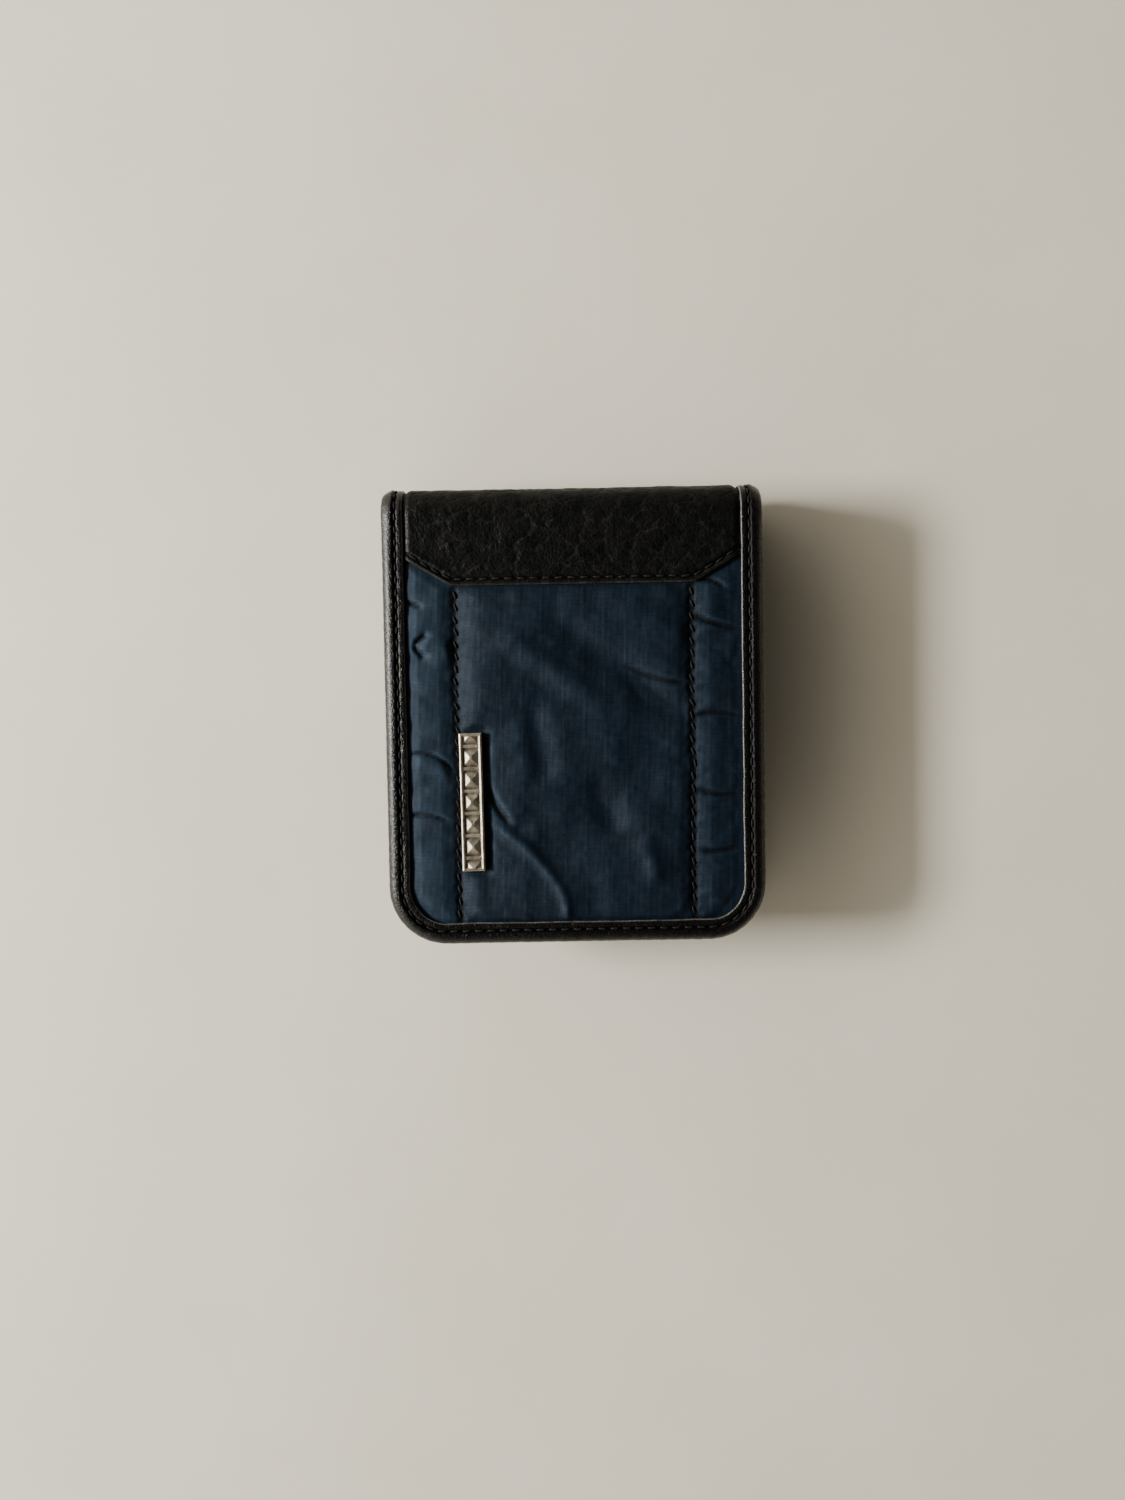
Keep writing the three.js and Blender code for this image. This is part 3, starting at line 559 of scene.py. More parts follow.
def nylon_material():
    """Woven nylon: upright ribs, crossing picks, a faint ripstop grid, paler where worn with painted
    highlight and painted light in the same mark, and painted shade in seam grooves and narrow fold valleys.
    """
    n = Nodes("nylon_fabric")
    warp = n.noise(260, 3.0)
    ribs = n.bands("X", 0.78, 1.2)
    weave = n.mix(0.5, n.bands("X", 0.3), n.bands("Y", 0.34))
    streaks = n.noise(2300, 3.0, vector=n.stretch(1, 0.09))
    cross = n.noise(2000, 3.0, vector=n.stretch(0.07, 1))
    grid = n.maths("MAXIMUM", n.bands("X", 5.2), n.bands("Y", 5.2))
    lines = n.ramp(grid, (0.9, 0.0), (1.0, 1.0))
    dark, mid, light = colour(6, 15, 25), colour(8, 20, 32), colour(17, 36, 53)
    tint = n.mix(n.ramp(streaks, (0.35, 0.1), (0.7, 0.8)), dark, mid)
    tint = n.mix(n.ramp(cross, (0.45, 0.0), (0.8, 0.4)), tint, light)
    tint = n.mix(n.ramp(streaks, (0.55, 0.0), (0.8, 0.35)), tint, light)
    tint = n.mix(n.ramp(n.noise(55, 3.0), (0.45, 0.0), (0.75, 0.4)), tint, colour(11, 14, 21))
    tint = n.mix(n.ramp(weave, (0.15, 0.65), (0.6, 0.0)), tint, (0.003, 0.004, 0.006, 1))
    # worn holds ridge wear with painted highlight, and painted light over the front's left strip.
    tint = n.mix(n.value("worn"), tint, colour(46, 62, 78))
    # seam holds painted shade in the seam grooves and in narrow fold valleys.
    tint = n.mix(n.value("seam"), tint, (0.0012, 0.0014, 0.0018, 1))
    rough = n.ramp(warp, (0.3, 0.42), (0.7, 0.54))
    threads = ((weave, 0.06), (ribs, 0.004), (streaks, 0.006), (cross, 0.008))
    n.shade(Base_Color=tint, Roughness=rough, Normal=n.bump(*threads, (lines, 0.02), (warp, 0.1)))
    n.shade(Sheen_Weight=0.05, Sheen_Roughness=0.35, Sheen_Tint=(0.55, 0.75, 0.9, 1))
    return n.shade(Specular_IOR_Level=0.13, Specular_Tint=(0.72, 0.86, 1.0, 1))


def lining_material():
    """Thin plain-woven lining."""
    n = Nodes("lining_weave")
    weave = n.mix(0.5, n.bands("X", 0.36), n.bands("Y", 0.36))
    slub = n.noise(600, 4.0, vector=n.stretch(1, 0.12))
    tint = n.mix(n.ramp(slub, (0.3, 0.0), (0.75, 1.0)), colour(12, 13, 17), colour(25, 26, 32))
    tint = n.mix(n.ramp(weave, (0.1, 0.6), (0.6, 0.0)), tint, (0.002, 0.002, 0.003, 1))
    rough = n.ramp(slub, (0.2, 0.66), (0.8, 0.8))
    normal = n.bump((weave, 0.08), (slub, 0.06))
    return n.shade(Base_Color=tint, Roughness=rough, Normal=normal, Specular_IOR_Level=0.12)


def wadding_material():
    """Matted polyester wadding."""
    n = Nodes("wadding_fibre")
    fibre = n.noise(1800, 8.0, 0.7, vector=n.stretch(1, 0.3))
    tint = n.mix(n.ramp(fibre, (0.3, 0.0), (0.7, 1.0)), colour(196, 194, 186), colour(226, 224, 218))
    return n.shade(Base_Color=tint, Roughness=0.95, Normal=n.bump((fibre, 0.2)))


def thread_material(name, tone, glint):
    """Waxed sewing thread: fine filaments that wind round it."""
    n = Nodes(name)
    strands = n.noise(5200, 3.0, vector=n.stretch(1, 0.35, turn=0.6))
    tint = n.mix(n.ramp(strands, (0.35, 0.0), (0.75, 1.0)), tone, glint)
    rough = n.ramp(strands, (0.3, 0.5), (0.7, 0.68))
    n.shade(Base_Color=tint, Roughness=rough, Normal=n.bump((strands, 0.04)))
    return n.shade(Sheen_Weight=0.03, Specular_IOR_Level=0.14)


def metal_material(name, tone, worn, roughness, coords="pattern"):
    """Plated metal with fine scratches, tarnish in its low places and brighter wear."""
    n = Nodes(name, coords)
    scratch = n.noise(2600, 2.0, vector=n.stretch(1, 0.05, turn=0.7))
    cloud = n.noise(420, 5.0)
    tint = n.mix(n.ramp(cloud, (0.35, 0.0), (0.7, 1.0)), tone, worn)
    tint = n.mix(n.maths("MULTIPLY", n.value("recess"), 0.6), tint, colour(66, 60, 50))
    rough = n.ramp(n.noise(900, 5.0), (0.3, roughness - 0.07), (0.75, roughness + 0.12))
    normal = n.bump((scratch, 0.012), (cloud, 0.04))
    return n.shade(Base_Color=tint, Metallic=1.0, Roughness=rough, Normal=normal)


def window_material():
    """Clear film with faint scuffs."""
    n = Nodes("window_film")
    scuff = n.noise(1500, 4.0, vector=n.stretch(1, 0.08, turn=0.4))
    rough = n.ramp(scuff, (0.4, 0.06), (0.8, 0.22))
    wave = n.noise(45, 2.0)
    n.shade(Base_Color=(0.92, 0.95, 0.96, 1), Roughness=rough, Normal=n.bump((wave, 0.3)), IOR=1.45)
    return n.shade(Transmission_Weight=1.0)


NYLON = nylon_material()
YOKE_LEATHER = leather_material(
    "yoke_leather", colour(5, 6, 5), colour(11, 11, 10), 0.42, cell=1.1, grain=0.05, shine=0.09
)
BINDING_LEATHER = leather_material(
    "binding_leather", colour(4, 4, 4), colour(9, 9, 8), 0.27, cell=0.7, grain=0.045, coat=0.08, shine=0.22
)
SMOOTH_LEATHER = leather_material(
    "pocket_leather", colour(8, 8, 8), colour(17, 16, 15), 0.42, cell=0.7, grain=0.03, shine=0.2
)
LINING = lining_material()
WADDING = wadding_material()
DARK_THREAD = thread_material("black_thread", colour(4, 4, 5), colour(15, 15, 17))
BADGE_METAL = metal_material("badge_pewter", colour(150, 142, 124), colour(196, 188, 170), 0.42)
SNAP_METAL = metal_material("snap_gunmetal", colour(96, 96, 98), colour(150, 150, 152), 0.26, None)
WINDOW = window_material()

# ---- The padded nylon of a cover ----

NYLON_END = span("back_nylon_panel")[1][1] - FOLD_Y  # the nylon ends under the yoke's lap
BADGE_LOW, BADGE_HIGH = span("badge_bar")
BADGE_LENGTH, BADGE_WIDTH, BADGE_TILT = 34.6, 5.7, 0.01  # the tilt is in radians
BADGE_X = (BADGE_LOW[0] + BADGE_HIGH[0]) / 2
BADGE_S = (BADGE_LOW[1] + BADGE_HIGH[1]) / 2 - FOLD_Y
CLOTH_GRID = (45, 48)  # points across and along the simulated nylon
CLOTH_SCALE = 0.02  # it is simulated at twenty times its size, where the solver is steady
CLOTH_FRAMES = 20

# Folds worn into the nylon: x, y of both ends, half width, height (below 0 is a valley), bow.
FRONT_FOLDS = [
    (-43.2, 28.6, -37.6, 27.2, 0.5, -0.6, 0.4),
    (-39.8, 18.2, -36.4, 20.6, 0.55, -0.7, 0.2),
    (-39.8, 18.0, -37.0, 14.6, 0.6, -0.7, -0.3),
    (-38.4, 18.6, -29.8, 14.4, 2.1, 0.65, 1.6),
    (-41.6, -9.2, -30.6, -13.9, 0.5, -0.6, 1.8),
    (-41.6, -11.6, -31.2, -16.4, 1.6, 0.45, 1.8),
    (-41.4, -24.6, -31.8, -26.4, 0.5, -0.6, 0.6),
    (30.4, 33.5, 38.0, 31.0, 0.5, -0.6, 0.6),
    (30.0, 24.2, 41.6, 20.8, 0.75, -0.7, -0.5),
    (30.2, -0.5, 41.8, -1.2, 0.6, -0.6, 0.7),
    (30.2, -19.4, 41.8, -20.8, 0.7, -0.6, -0.5),
    (31.0, -34.8, 41.8, -33.6, 0.7, -0.6, -0.5),
    (12.4, 12.1, 28.6, 7.4, 0.7, -0.5, -0.9),
    (-19.5, 20.0, 8.0, 0.6, 3.2, 0.85, 0.9),
    (-8.0, 25.0, 28.8, -4.2, 4.0, -1.0, 1.2),
    (-22.7, -16.4, -16.2, -27.6, 0.8, -0.6, -0.8),
    (-22.0, -26.4, -4.8, -43.0, 1.5, 0.75, 1.3),
    (-5.4, -41.8, -2.9, -53.4, 1.4, 0.65, 1.0),
    (-11.6, 4.0, -8.2, -18.0, 3.4, -0.85, 0.8),
    (4.5, -14.4, 10.8, -31.0, 3.4, -0.8, -0.8),
    (15.6, -30.4, 19.6, -43.0, 2.4, 0.55, 0.6),
    (-19.0, -50.0, -11.4, -51.4, 0.8, 0.3, 0.3),
    (10.5, 27.8, 27.8, 16.6, 3.2, 0.5, 0.9),
    (-24.8, 27.0, -12.8, 30.4, 1.8, 0.25, -0.9),
]
BACK_FOLDS = [
    (-42.0, 24.0, -31.0, 21.6, 0.7, -0.42, 0.6),
    (-41.6, 4.2, -31.0, 6.4, 0.8, -0.4, -0.7),
    (-41.6, -22.0, -30.6, -18.4, 0.7, -0.45, 0.8),
    (-41.6, -40.0, -31.4, -42.0, 0.8, -0.4, 0.5),
    (30.6, 27.4, 40.4, 29.0, 0.6, -0.4, 0.5),
    (30.6, 10.8, 41.4, 7.6, 0.8, -0.45, -0.7),
    (30.6, -11.0, 41.6, -12.6, 0.7, -0.4, 0.8),
    (30.6, -30.5, 41.6, -27.6, 0.8, -0.45, 0.6),
    (-18.0, 22.0, 14.0, 6.0, 3.0, -0.5, 1.6),
    (-22.0, -4.0, 8.0, -20.0, 2.4, 0.45, -1.6),
    (2.0, 26.0, 24.0, 16.0, 2.2, 0.4, 1.0),
    (-12.0, -26.0, 20.0, -36.0, 3.0, -0.5, 1.8),
    (-24.0, -36.0, -10.0, -50.0, 1.6, 0.4, 0.8),
    (10.0, -6.0, 16.0, -22.0, 2.4, -0.4, 0.8),
]


def worn_fold(x, y, fold):
    """The height of one fold: a soft bowed line that dies away at both ends."""
    x0, y0, x1, y1, half, height, bow = fold
    length = math.hypot(x1 - x0, y1 - y0)
    ux, uy = (x1 - x0) / length, (y1 - y0) / length
    t = ((x - x0) * ux + (y - y0) * uy) / length
    inside = np.clip(t, 0, 1)
    off = (y - y0) * ux - (x - x0) * uy - bow * 4 * inside * (1 - inside)
    past = (t - inside) * length
    fade = smooth(t, -0.06, 0.22) * smooth(-t, -1.06, -0.78)
    return height * fade * np.exp(-((off / half) ** 2) - (past / half) ** 2)


def yoke_edge(x):
    """Where the yoke's lower edge is: level in the middle and rising outside the seams."""
    rise = np.clip((np.abs(x) - YOKE_CORNER_X) / (FACE_X - YOKE_CORNER_X), 0, 1.4) * YOKE_RISE
    ease = 0.5 * np.exp(-(((np.abs(x) - YOKE_CORNER_X) / 1.2) ** 2))
    return YOKE_S + rise + ease * 0.35


def badge_nearness(x, s):
    """1 under the badge, falling to 0 a little way outside it."""
    dx, ds = x - BADGE_X, s - BADGE_S
    across = np.abs(dx * math.cos(BADGE_TILT) + ds * math.sin(BADGE_TILT)) - BADGE_WIDTH / 2
    length = np.abs(ds * math.cos(BADGE_TILT) - dx * math.sin(BADGE_TILT)) - BADGE_LENGTH / 2
    return 1 - smooth(np.hypot(np.maximum(across, 0), np.maximum(length, 0)), 0.2, 2.6)


def inside_binding(x, s):
    """How far inside the binding's inner edge each point of a cover's face is."""
    return Outline(-FACE_X, FACE_X, LOW_S + BAND, 0, CORNER_R - BAND).inset(x, s)


def held_down(x, s, front):
    """How strongly the nylon is held flat: by the binding, the seams, the yoke and the badge."""
    border = 1 - smooth(inside_binding(x, s), -0.6, 3.4)
    seam = 1 - smooth(np.abs(np.abs(x) - SEAM_X), 0.1, 4.6)
    yoke = smooth(s - yoke_edge(x), -3.4, 0.4)
    held = np.maximum(np.maximum(border, seam), yoke)
    return np.maximum(held, badge_nearness(x, s)) if front else held


def billow(x, s, front):
    """Lets the nylon puff and pucker over its wadding by cloth simulation. Heights in millimetres."""
    held = held_down(x, s, front)
    start = 0.12 * ripple(x, s, 14, 5 if front else 9) * (1 - held)
    mesh = bpy.data.meshes.new("billow")
    points = np.stack([x, s, start], -1).reshape(-1, 3) * CLOTH_SCALE
    mesh.from_pydata(points.tolist(), [], grid_faces(*x.shape))
    sheet = show("billow", mesh)
    pins = sheet.vertex_groups.new(name="held")
    pins.add(np.flatnonzero(held.ravel() > 0.75).tolist(), 1, "REPLACE")
    cloth = sheet.modifiers.new("Cloth", "CLOTH")
    rules = cloth.settings
    rules.effector_weights.gravity = 0
    rules.vertex_group_mass = "held"
    rules.quality = 8
    rules.use_pressure = True
    rules.uniform_pressure_force = 0.25
    rules.shrink_min = rules.shrink_max = -0.012
    rules.bending_stiffness = 4
    rules.air_damping = 2
    cloth.point_cache.frame_start, cloth.point_cache.frame_end = 1, CLOTH_FRAMES
    for number in range(1, CLOTH_FRAMES + 1):
        bpy.context.scene.frame_set(number)
    shape = sheet.evaluated_get(bpy.context.evaluated_depsgraph_get()).to_mesh()
    moved = np.empty(len(shape.vertices) * 3, np.float32)
    shape.vertices.foreach_get("co", moved)
    bpy.data.objects.remove(sheet)
    bpy.context.scene.frame_set(1)
    return np.clip(moved.reshape(*x.shape, 3)[..., 2] / CLOTH_SCALE, -0.3, 2.5)


def finer(grid):
    """Halves a grid's spacing along both axes with smooth in-between values."""
    for axis in (0, 1):
        g = np.moveaxis(grid, axis, 0)
        padded = np.concatenate([g[:1], g, g[-1:]])
        middle = (9 * (g[:-1] + g[1:]) - padded[:-3] - padded[3:]) / 16
        made = np.empty((2 * len(g) - 1, *g.shape[1:]))
        made[::2], made[1::2] = g, middle
        grid = np.moveaxis(made, 0, axis)
    return grid


def seam_line(side, s):
    """Where an upright seam runs: a little crooked, and pulled to and fro by each stitch."""
    return side + 0.34 * ripple(s, s * 0, 16, 31) + 0.2 * np.sin(2 * math.pi * s / STITCH)


def nylon_panel(front):
    """The nylon face of a cover: simulated padding, stitched seams, puckers and worn folds."""
    share = np.linspace(0, 1, CLOTH_GRID[0])
    s_line = np.linspace(SHEET_S, NYLON_END, CLOTH_GRID[1])
    cut = corner_cut(SHEET_R, SHEET_S + SHEET_R - s_line)
    x = -SHEET_X + cut + 2 * (SHEET_X - cut) * share[:, None]
    s = np.broadcast_to(s_line, x.shape)
    puff = billow(x, s, front)
    for _ in range(2):
        x, s, puff = finer(x), finer(s), finer(puff)
    y = s + FOLD_Y
    held = held_down(x, s, front)
    free = 1 - held
    outward = smooth(np.abs(x), SEAM_X + 1, FACE_X) * np.where(x > 0, 0.8, 0.2)
    height = 0.36 * np.clip(puff, -0.4, 3.0) + 0.5 * free - outward
    # stitched holds painted shade: in the seam grooves and in the valleys of narrow folds.
    stitched = np.zeros(x.shape)
    height += 0.10 * ripple(x, s, 13, 21) * free + 0.05 * ripple(x, s, 5, 22) * free
    for fold in FRONT_FOLDS if front else BACK_FOLDS:
        sharp = fold[4] < 1
        rise = worn_fold(x, y, fold) * (1 - smooth(held, 0.8 if sharp else 0.5, 1.0))
        height += rise * (1.3 if sharp else 1)
        if sharp:
            # Painted shade in the valley of a narrow fold.
            stitched = np.maximum(stitched, 0.85 * smooth(-rise, 0.12, 0.42))
    for side in (-SEAM_X, SEAM_X):
        away = np.abs(x - seam_line(side, s))
        pull = np.sin(2 * math.pi * s / (1.5 * STITCH) + 1.4 * ripple(x, s, 9, 33))
        height += 0.17 * np.exp(-away / 2.2) * pull * smooth(away, 0.2, 0.9)
        depth = 0.62 + 0.2 * np.sin(2 * math.pi * s / STITCH + 1.3)
        bite = 0.85 + 0.25 * np.sin(4 * math.pi * s / STITCH + 0.7) + 0.1 * ripple(x, s, 4, 35)
        # Painted shade in the seam's groove.
        stitched = np.maximum(stitched, 1 - smooth(away, bite - 0.12, bite + 0.2))
        height -= depth * np.exp(-((away / 0.72) ** 2)) * smooth(-s, -YOKE_S, -YOKE_S + 1.5)
    edge = inside_binding(x, s)
    height -= np.where(x > 0, 0.25, 0.1) * np.exp(-((edge / 0.8) ** 2))
    under = smooth(s - yoke_edge(x), -0.6, 0.3)
    tucked = np.maximum(under, 1 - smooth(edge, -0.3, 0.4))
    top = NYLON_D[0] - np.clip(height, -0.3, 2.2)
    top = top * (1 - tucked) + np.maximum(top, NYLON_D[0]) * tucked
    inner = np.maximum(top + 0.3, NYLON_D[1])
    prefix = "front" if front else "back"
    panel = closed_sheet(f"{prefix}_nylon", x, s, top, inner, on_cover(front))
    # Paler on ridges: partly wear and partly painted highlight.
    curl = height - 0.5 * (np.roll(height, 3, 0) + np.roll(height, -3, 0))
    wear_and_painted_light = np.clip(curl * 1.6 * free, 0, 0.5) * (0.6 + 0.4 * ripple(x, s, 6, 44))
    # Painted light: on the front, the left strip, which faces the window light, is painted paler.
    if front:
        wear_and_painted_light += 0.2 * smooth(-x, SEAM_X, SEAM_X + 2) * (0.8 + 0.4 * ripple(x, s, 15, 45))
    # The worn attribute holds ridge wear with painted highlight, and the painted light on the left strip.
    mark(panel, "worn", np.clip([wear_and_painted_light, wear_and_painted_light], 0, 0.5))
    # The seam attribute carries this painted shade.
    mark(panel, "seam", [0.9 * stitched, 0.9 * stitched])
    finish_piece(panel, NYLON, "nylon", f"{prefix}_nylon_panel")
    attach(panel, body_name(front))
    for side, x_seam in (("left", -SEAM_X), ("right", SEAM_X)):
        s_seam = np.arange(LOW_S + BAND + 0.8, YOKE_S - 0.6, 0.5)
        path = np.stack([seam_line(x_seam, s_seam), s_seam], -1)
        name, depth = f"{prefix}_seam_{side}", NYLON_D[0] + 0.1
        row = stitch_row(name, path, depth, on_cover(front), radius=0.27, wander=0.16)
        sewn(row, body_name(front), f"{prefix}_seam_thread_{side}")


def wadding(front):
    """The padding under the nylon."""
    prefix = "front" if front else "back"
    low, high = depths("back_wadding")
    outline = Outline(-SHEET_X, SHEET_X, SHEET_S, span("back_wadding")[1][1] - FOLD_Y, SHEET_R)
    pad = leather_sheet(f"{prefix}_padding", outline, (low, high), on_cover(front), step=4)
    finish_piece(pad, WADDING, "wadding", f"{prefix}_wadding")
    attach(pad, body_name(front))


# ---- The leather of a cover: yoke, binding, linings ----


def creased(x, s, size, seed):
    """Distance to the edge of irregular cells, in millimetres: 0 on the lines between them."""
    rng = np.random.default_rng(seed)
    low = np.array([x.min(), s.min()]) - 2 * size
    count = (np.array([x.max(), s.max()]) - low) / size + 3
    cell_x, cell_s = np.meshgrid(np.arange(int(count[0])), np.arange(int(count[1])), indexing="ij")
    seeds = np.stack([cell_x, cell_s], -1) + rng.uniform(0.08, 0.92, (*cell_x.shape, 2))
    at = (np.stack([x, s], -1) - low) / size
    home = at.astype(int)
    found = []
    for i in range(-2, 3):
        for j in range(-2, 3):
            row = np.clip(home[..., 0] + i, 0, seeds.shape[0] - 1)
            near = seeds[row, np.clip(home[..., 1] + j, 0, seeds.shape[1] - 1)]
            found.append(np.linalg.norm(near - at, axis=-1))
    closest = np.sort(np.stack(found), axis=0)
    return (closest[1] - closest[0]) * size


def yoke(front):
    """The leather over the fold: a skived sheet with a stitched hem, running to the middle of the spine."""
    prefix = "front" if front else "back"
    x_line = spaced(-SHEET_X, SHEET_X, 0.42)
    share = spaced(0, 58, 0.42) / 58
    edge = yoke_edge(x_line)[:, None]
    s = edge + (MID_S - edge) * share
    x = np.broadcast_to(x_line[:, None], s.shape)
    inset = s - edge
    bent_x, bent_s = x * 0.8 + 1.1 * ripple(x, s, 8, 61), s + 1.1 * ripple(x, s, 8, 62)
    large = creased(bent_x, bent_s, 5.4, 63)
    small = creased(bent_x, bent_s, 2.3, 64)
    deep = 0.5 + 0.5 * smooth(ripple(x, s, 12, 66), -0.5, 0.4)
    grain = 0.19 * deep * smooth(large, 0.0, 0.42) + 0.03 * np.minimum(large / 2.2, 1)
    grain += 0.05 * deep * smooth(small, 0.0, 0.35) + 0.02 * smooth(creased(x, s, 1.0, 67), 0.0, 0.3)
    roll_up = 0.16 * ripple(x, s, 11, 65) - 0.55 * np.exp(-(((inset - HEM) / 0.5) ** 2))
    roll_up += 0.12 * np.exp(-(((inset - 0.75) / 0.5) ** 2)) + 0.14 * np.exp(-(((inset - 2.9) / 0.8) ** 2))
    calm = np.clip(inset / 0.8, 0, 1)
    top = 0.34 - 0.9 * (grain - 0.17) * calm - roll_up * np.clip(inset / 0.3, 0, 1) * 0.9
    top += round_edge(inset, 0.45)
    sink = smooth(np.abs(x), FACE_X - 1.7, FACE_X - 0.2)
    top = np.maximum(top, 0.0) * (1 - sink) + (0.97 + 0.09 * smooth(np.abs(x), FACE_X, SHEET_X)) * sink
    lap = 1 - smooth(s, NYLON_END + 0.2, NYLON_END + 1.2)
    inner = 0.93 - round_edge(inset, 0.4) * 0.8
    inner = (inner * (1 - sink) + 1.08 * sink) * lap + NYLON_D[1] * (1 - lap)
    piece = closed_sheet(f"{prefix}_yoke", x, s, np.minimum(top, inner - 0.04), inner, on_cover(front))
    # Paler along the crease lines: partly wear and partly painted highlight.
    rubbed_and_highlit = 0.11 * deep * np.exp(-((large / 0.2) ** 2)) + 0.05 * deep * np.exp(-((small / 0.16) ** 2))
    pale = np.maximum(0.3 - 0.3 * smooth(inset, 0.12, 0.55), rubbed_and_highlit * calm)
    # The cut attribute carries the pale cut edge and these crease lines with their painted highlight.
    mark(piece, "cut", [pale, pale])
    nodes = (f"{prefix}_yoke_leather", *spine_nodes(front, "spine_leather"))
    finish_piece(piece, YOKE_LEATHER, "grained_leather", *nodes)
    bend_with_spine(piece)
    x_hem = np.linspace(-FACE_X + 1.2, FACE_X - 1.2, 160)
    path = np.stack([x_hem, yoke_edge(x_hem) + HEM], -1)
    hem = stitch_row(f"{prefix}_yoke_stitches", path, SEAT_D, on_cover(front), wander=0.05, seed=7)
    sewn(hem, body_name(front), f"{prefix}_yoke_thread")


FLANGE_POINTS, GROOVE_POINTS, RIM_POINTS, SLOT_POINTS = 7, 5, 19, 4  # of the binding's section


def binding_section(reach, s):
    """The binding's section at each point of its path.

    It runs over the flange, the stitched groove and the puckered round rim, back over a groove and a
    flange on the inner face, and round the slot.
    """
    waver = 0.025 * np.sin(2 * math.pi * reach / STITCH) + 0.045 * ripple(reach, reach * 0, 9, 71)
    lift = 0.05 * ripple(reach, reach * 0, 21, 72)
    radius = RIM / 2
    angles = np.linspace(math.pi / 2, -math.pi / 2, RIM_POINTS)
    pressed = smooth(s, -9, 1)[:, None]
    thick = np.maximum(np.cos(angles), 0)[None, :] ** (1 - 0.5 * pressed)
    side = np.sign(angles) * np.abs(np.sin(angles)) ** (1 - 0.5 * pressed)
    rim_u = radius - radius * thick - waver[:, None] * thick - 0.04
    rim_d = radius - (radius + waver[:, None] * 0.5) * side + 0.05
    rim_d = rim_d + 1.1 * pressed * np.clip(side, 0, 1) * thick
    edge_wave = 0.12 * ripple(reach, reach * 0, 17, 73)

    def column(u, d):
        return np.stack([np.broadcast_to(u, reach.shape), np.broadcast_to(d, reach.shape)], -1)

    dip = 0.04 * np.cos(2 * math.pi * reach / STITCH)
    outer = [(BAND, 0.86), (BAND, 0.52), (BAND - 0.09, 0.40), (BAND - 0.35, 0.31), (4.7, 0.30), (4.2, 0.30)]
    outer.append((3.98, 0.36))
    groove = [(3.78, 0.52 + dip), (3.5, 0.60 + dip), (3.22, 0.50 + dip), (3.05, 0.24 + dip), (2.86, 0.08)]
    columns = [column(u + (edge_wave if u > 5 else 0), d - lift * (u > 4)) for u, d in outer]
    columns += [column(u, d) for u, d in groove]
    columns += [column(rim_u[:, k], rim_d[:, k]) for k in range(len(angles))]
    columns += [column(u, RIM - d) for u, d in groove[::-1]]
    columns += [column(u, RIM - d) for u, d in outer[::-1]]
    columns += [column(u, d) for u, d in ((4.2, 4.34), (SLOT_U, 4.34), (SLOT_U, 0.86), (4.2, 0.86))]
    return np.stack(columns, 1)


def binding_marks():
    """For each point of the section, how far it shows a cut edge and how deep in the groove it is."""
    groove = FLANGE_POINTS + GROOVE_POINTS
    inner = groove + RIM_POINTS
    cut, recess = np.zeros((2, 2 * groove + RIM_POINTS + SLOT_POINTS))
    cut[:3] = 1
    cut[inner + groove - 1] = 1
    depth = (0.6, 0.85, 0.85, 0.85, 0.85, 0.7)
    recess[FLANGE_POINTS - 1 : groove] = depth
    recess[inner : inner + len(depth)] = depth
    return cut, recess


def step_up(x, s, d):
    """At the mouth of the banknote pocket the binding's inner wall steps up over the padded shell only."""
    share = smooth(x, HALF - CORNER_R, FACE_X - 0.3) * (1 - smooth(s, -1.0, 4.0))
    return d - 1.0 * share * smooth(d, *SLOT)


def binding(front):
    """The leather that wraps a cover's edge and its half of the spine, with its stitches on both faces."""
    prefix = "front" if front else "back"
    place = on_cover(front)

    def stepped(x, s, d):
        return place(x, s, step_up(x, s, d))

    path, reach = edge_path(HALF, LOW_S, MID_S, CORNER_R, 0.62)
    piece = swept(f"{prefix}_edge_binding", path, binding_section(reach, path[:, 1]), stepped)
    for name, values in zip(("cut", "recess"), binding_marks()):
        mark(piece, name, np.tile(values, len(path)))
    nodes = spine_nodes(front, "spine_binding_left", "spine_binding_right")
    finish_piece(piece, BINDING_LEATHER, "binding_leather", f"{prefix}_binding", *nodes)
    bend_with_spine(piece)
    seat = path[:, :2] + path[:, 2:] * SEAT_U
    outer = stitch_row(f"{prefix}_edge_stitches", seat, SEAT_D, place, radius=0.23, seed=8)
    nodes = spine_nodes(front, "spine_thread_left", "spine_thread_right")
    finish_piece(outer, DARK_THREAD, "thread", f"{prefix}_binding_thread", *nodes)
    bend_with_spine(outer)
    name = f"{prefix}_edge_stitches_inside"
    inner = stitch_row(name, seat, RIM - SEAT_D, stepped, radius=0.23, sign=-1.0, seed=9)
    finish_piece(inner, DARK_THREAD, "thread")
    bend_with_spine(inner)


def cloth_layer(name, outline, levels, front, slot_nodes, swell):
    """A lining of a cover and its half of the spine. swell is the height of its gentle waves."""

    def wave(x, s, inset):
        return swell * ripple(x, s, 26, len(name)) * smooth(inset, 4, 9) * (1 - smooth(s, -6, 0))

    piece = leather_sheet(name, outline, levels, on_cover(front), step=1.9, back_relief=wave)
    finish_piece(piece, LINING, "lining_cloth", *slot_nodes)
    bend_with_spine(piece)


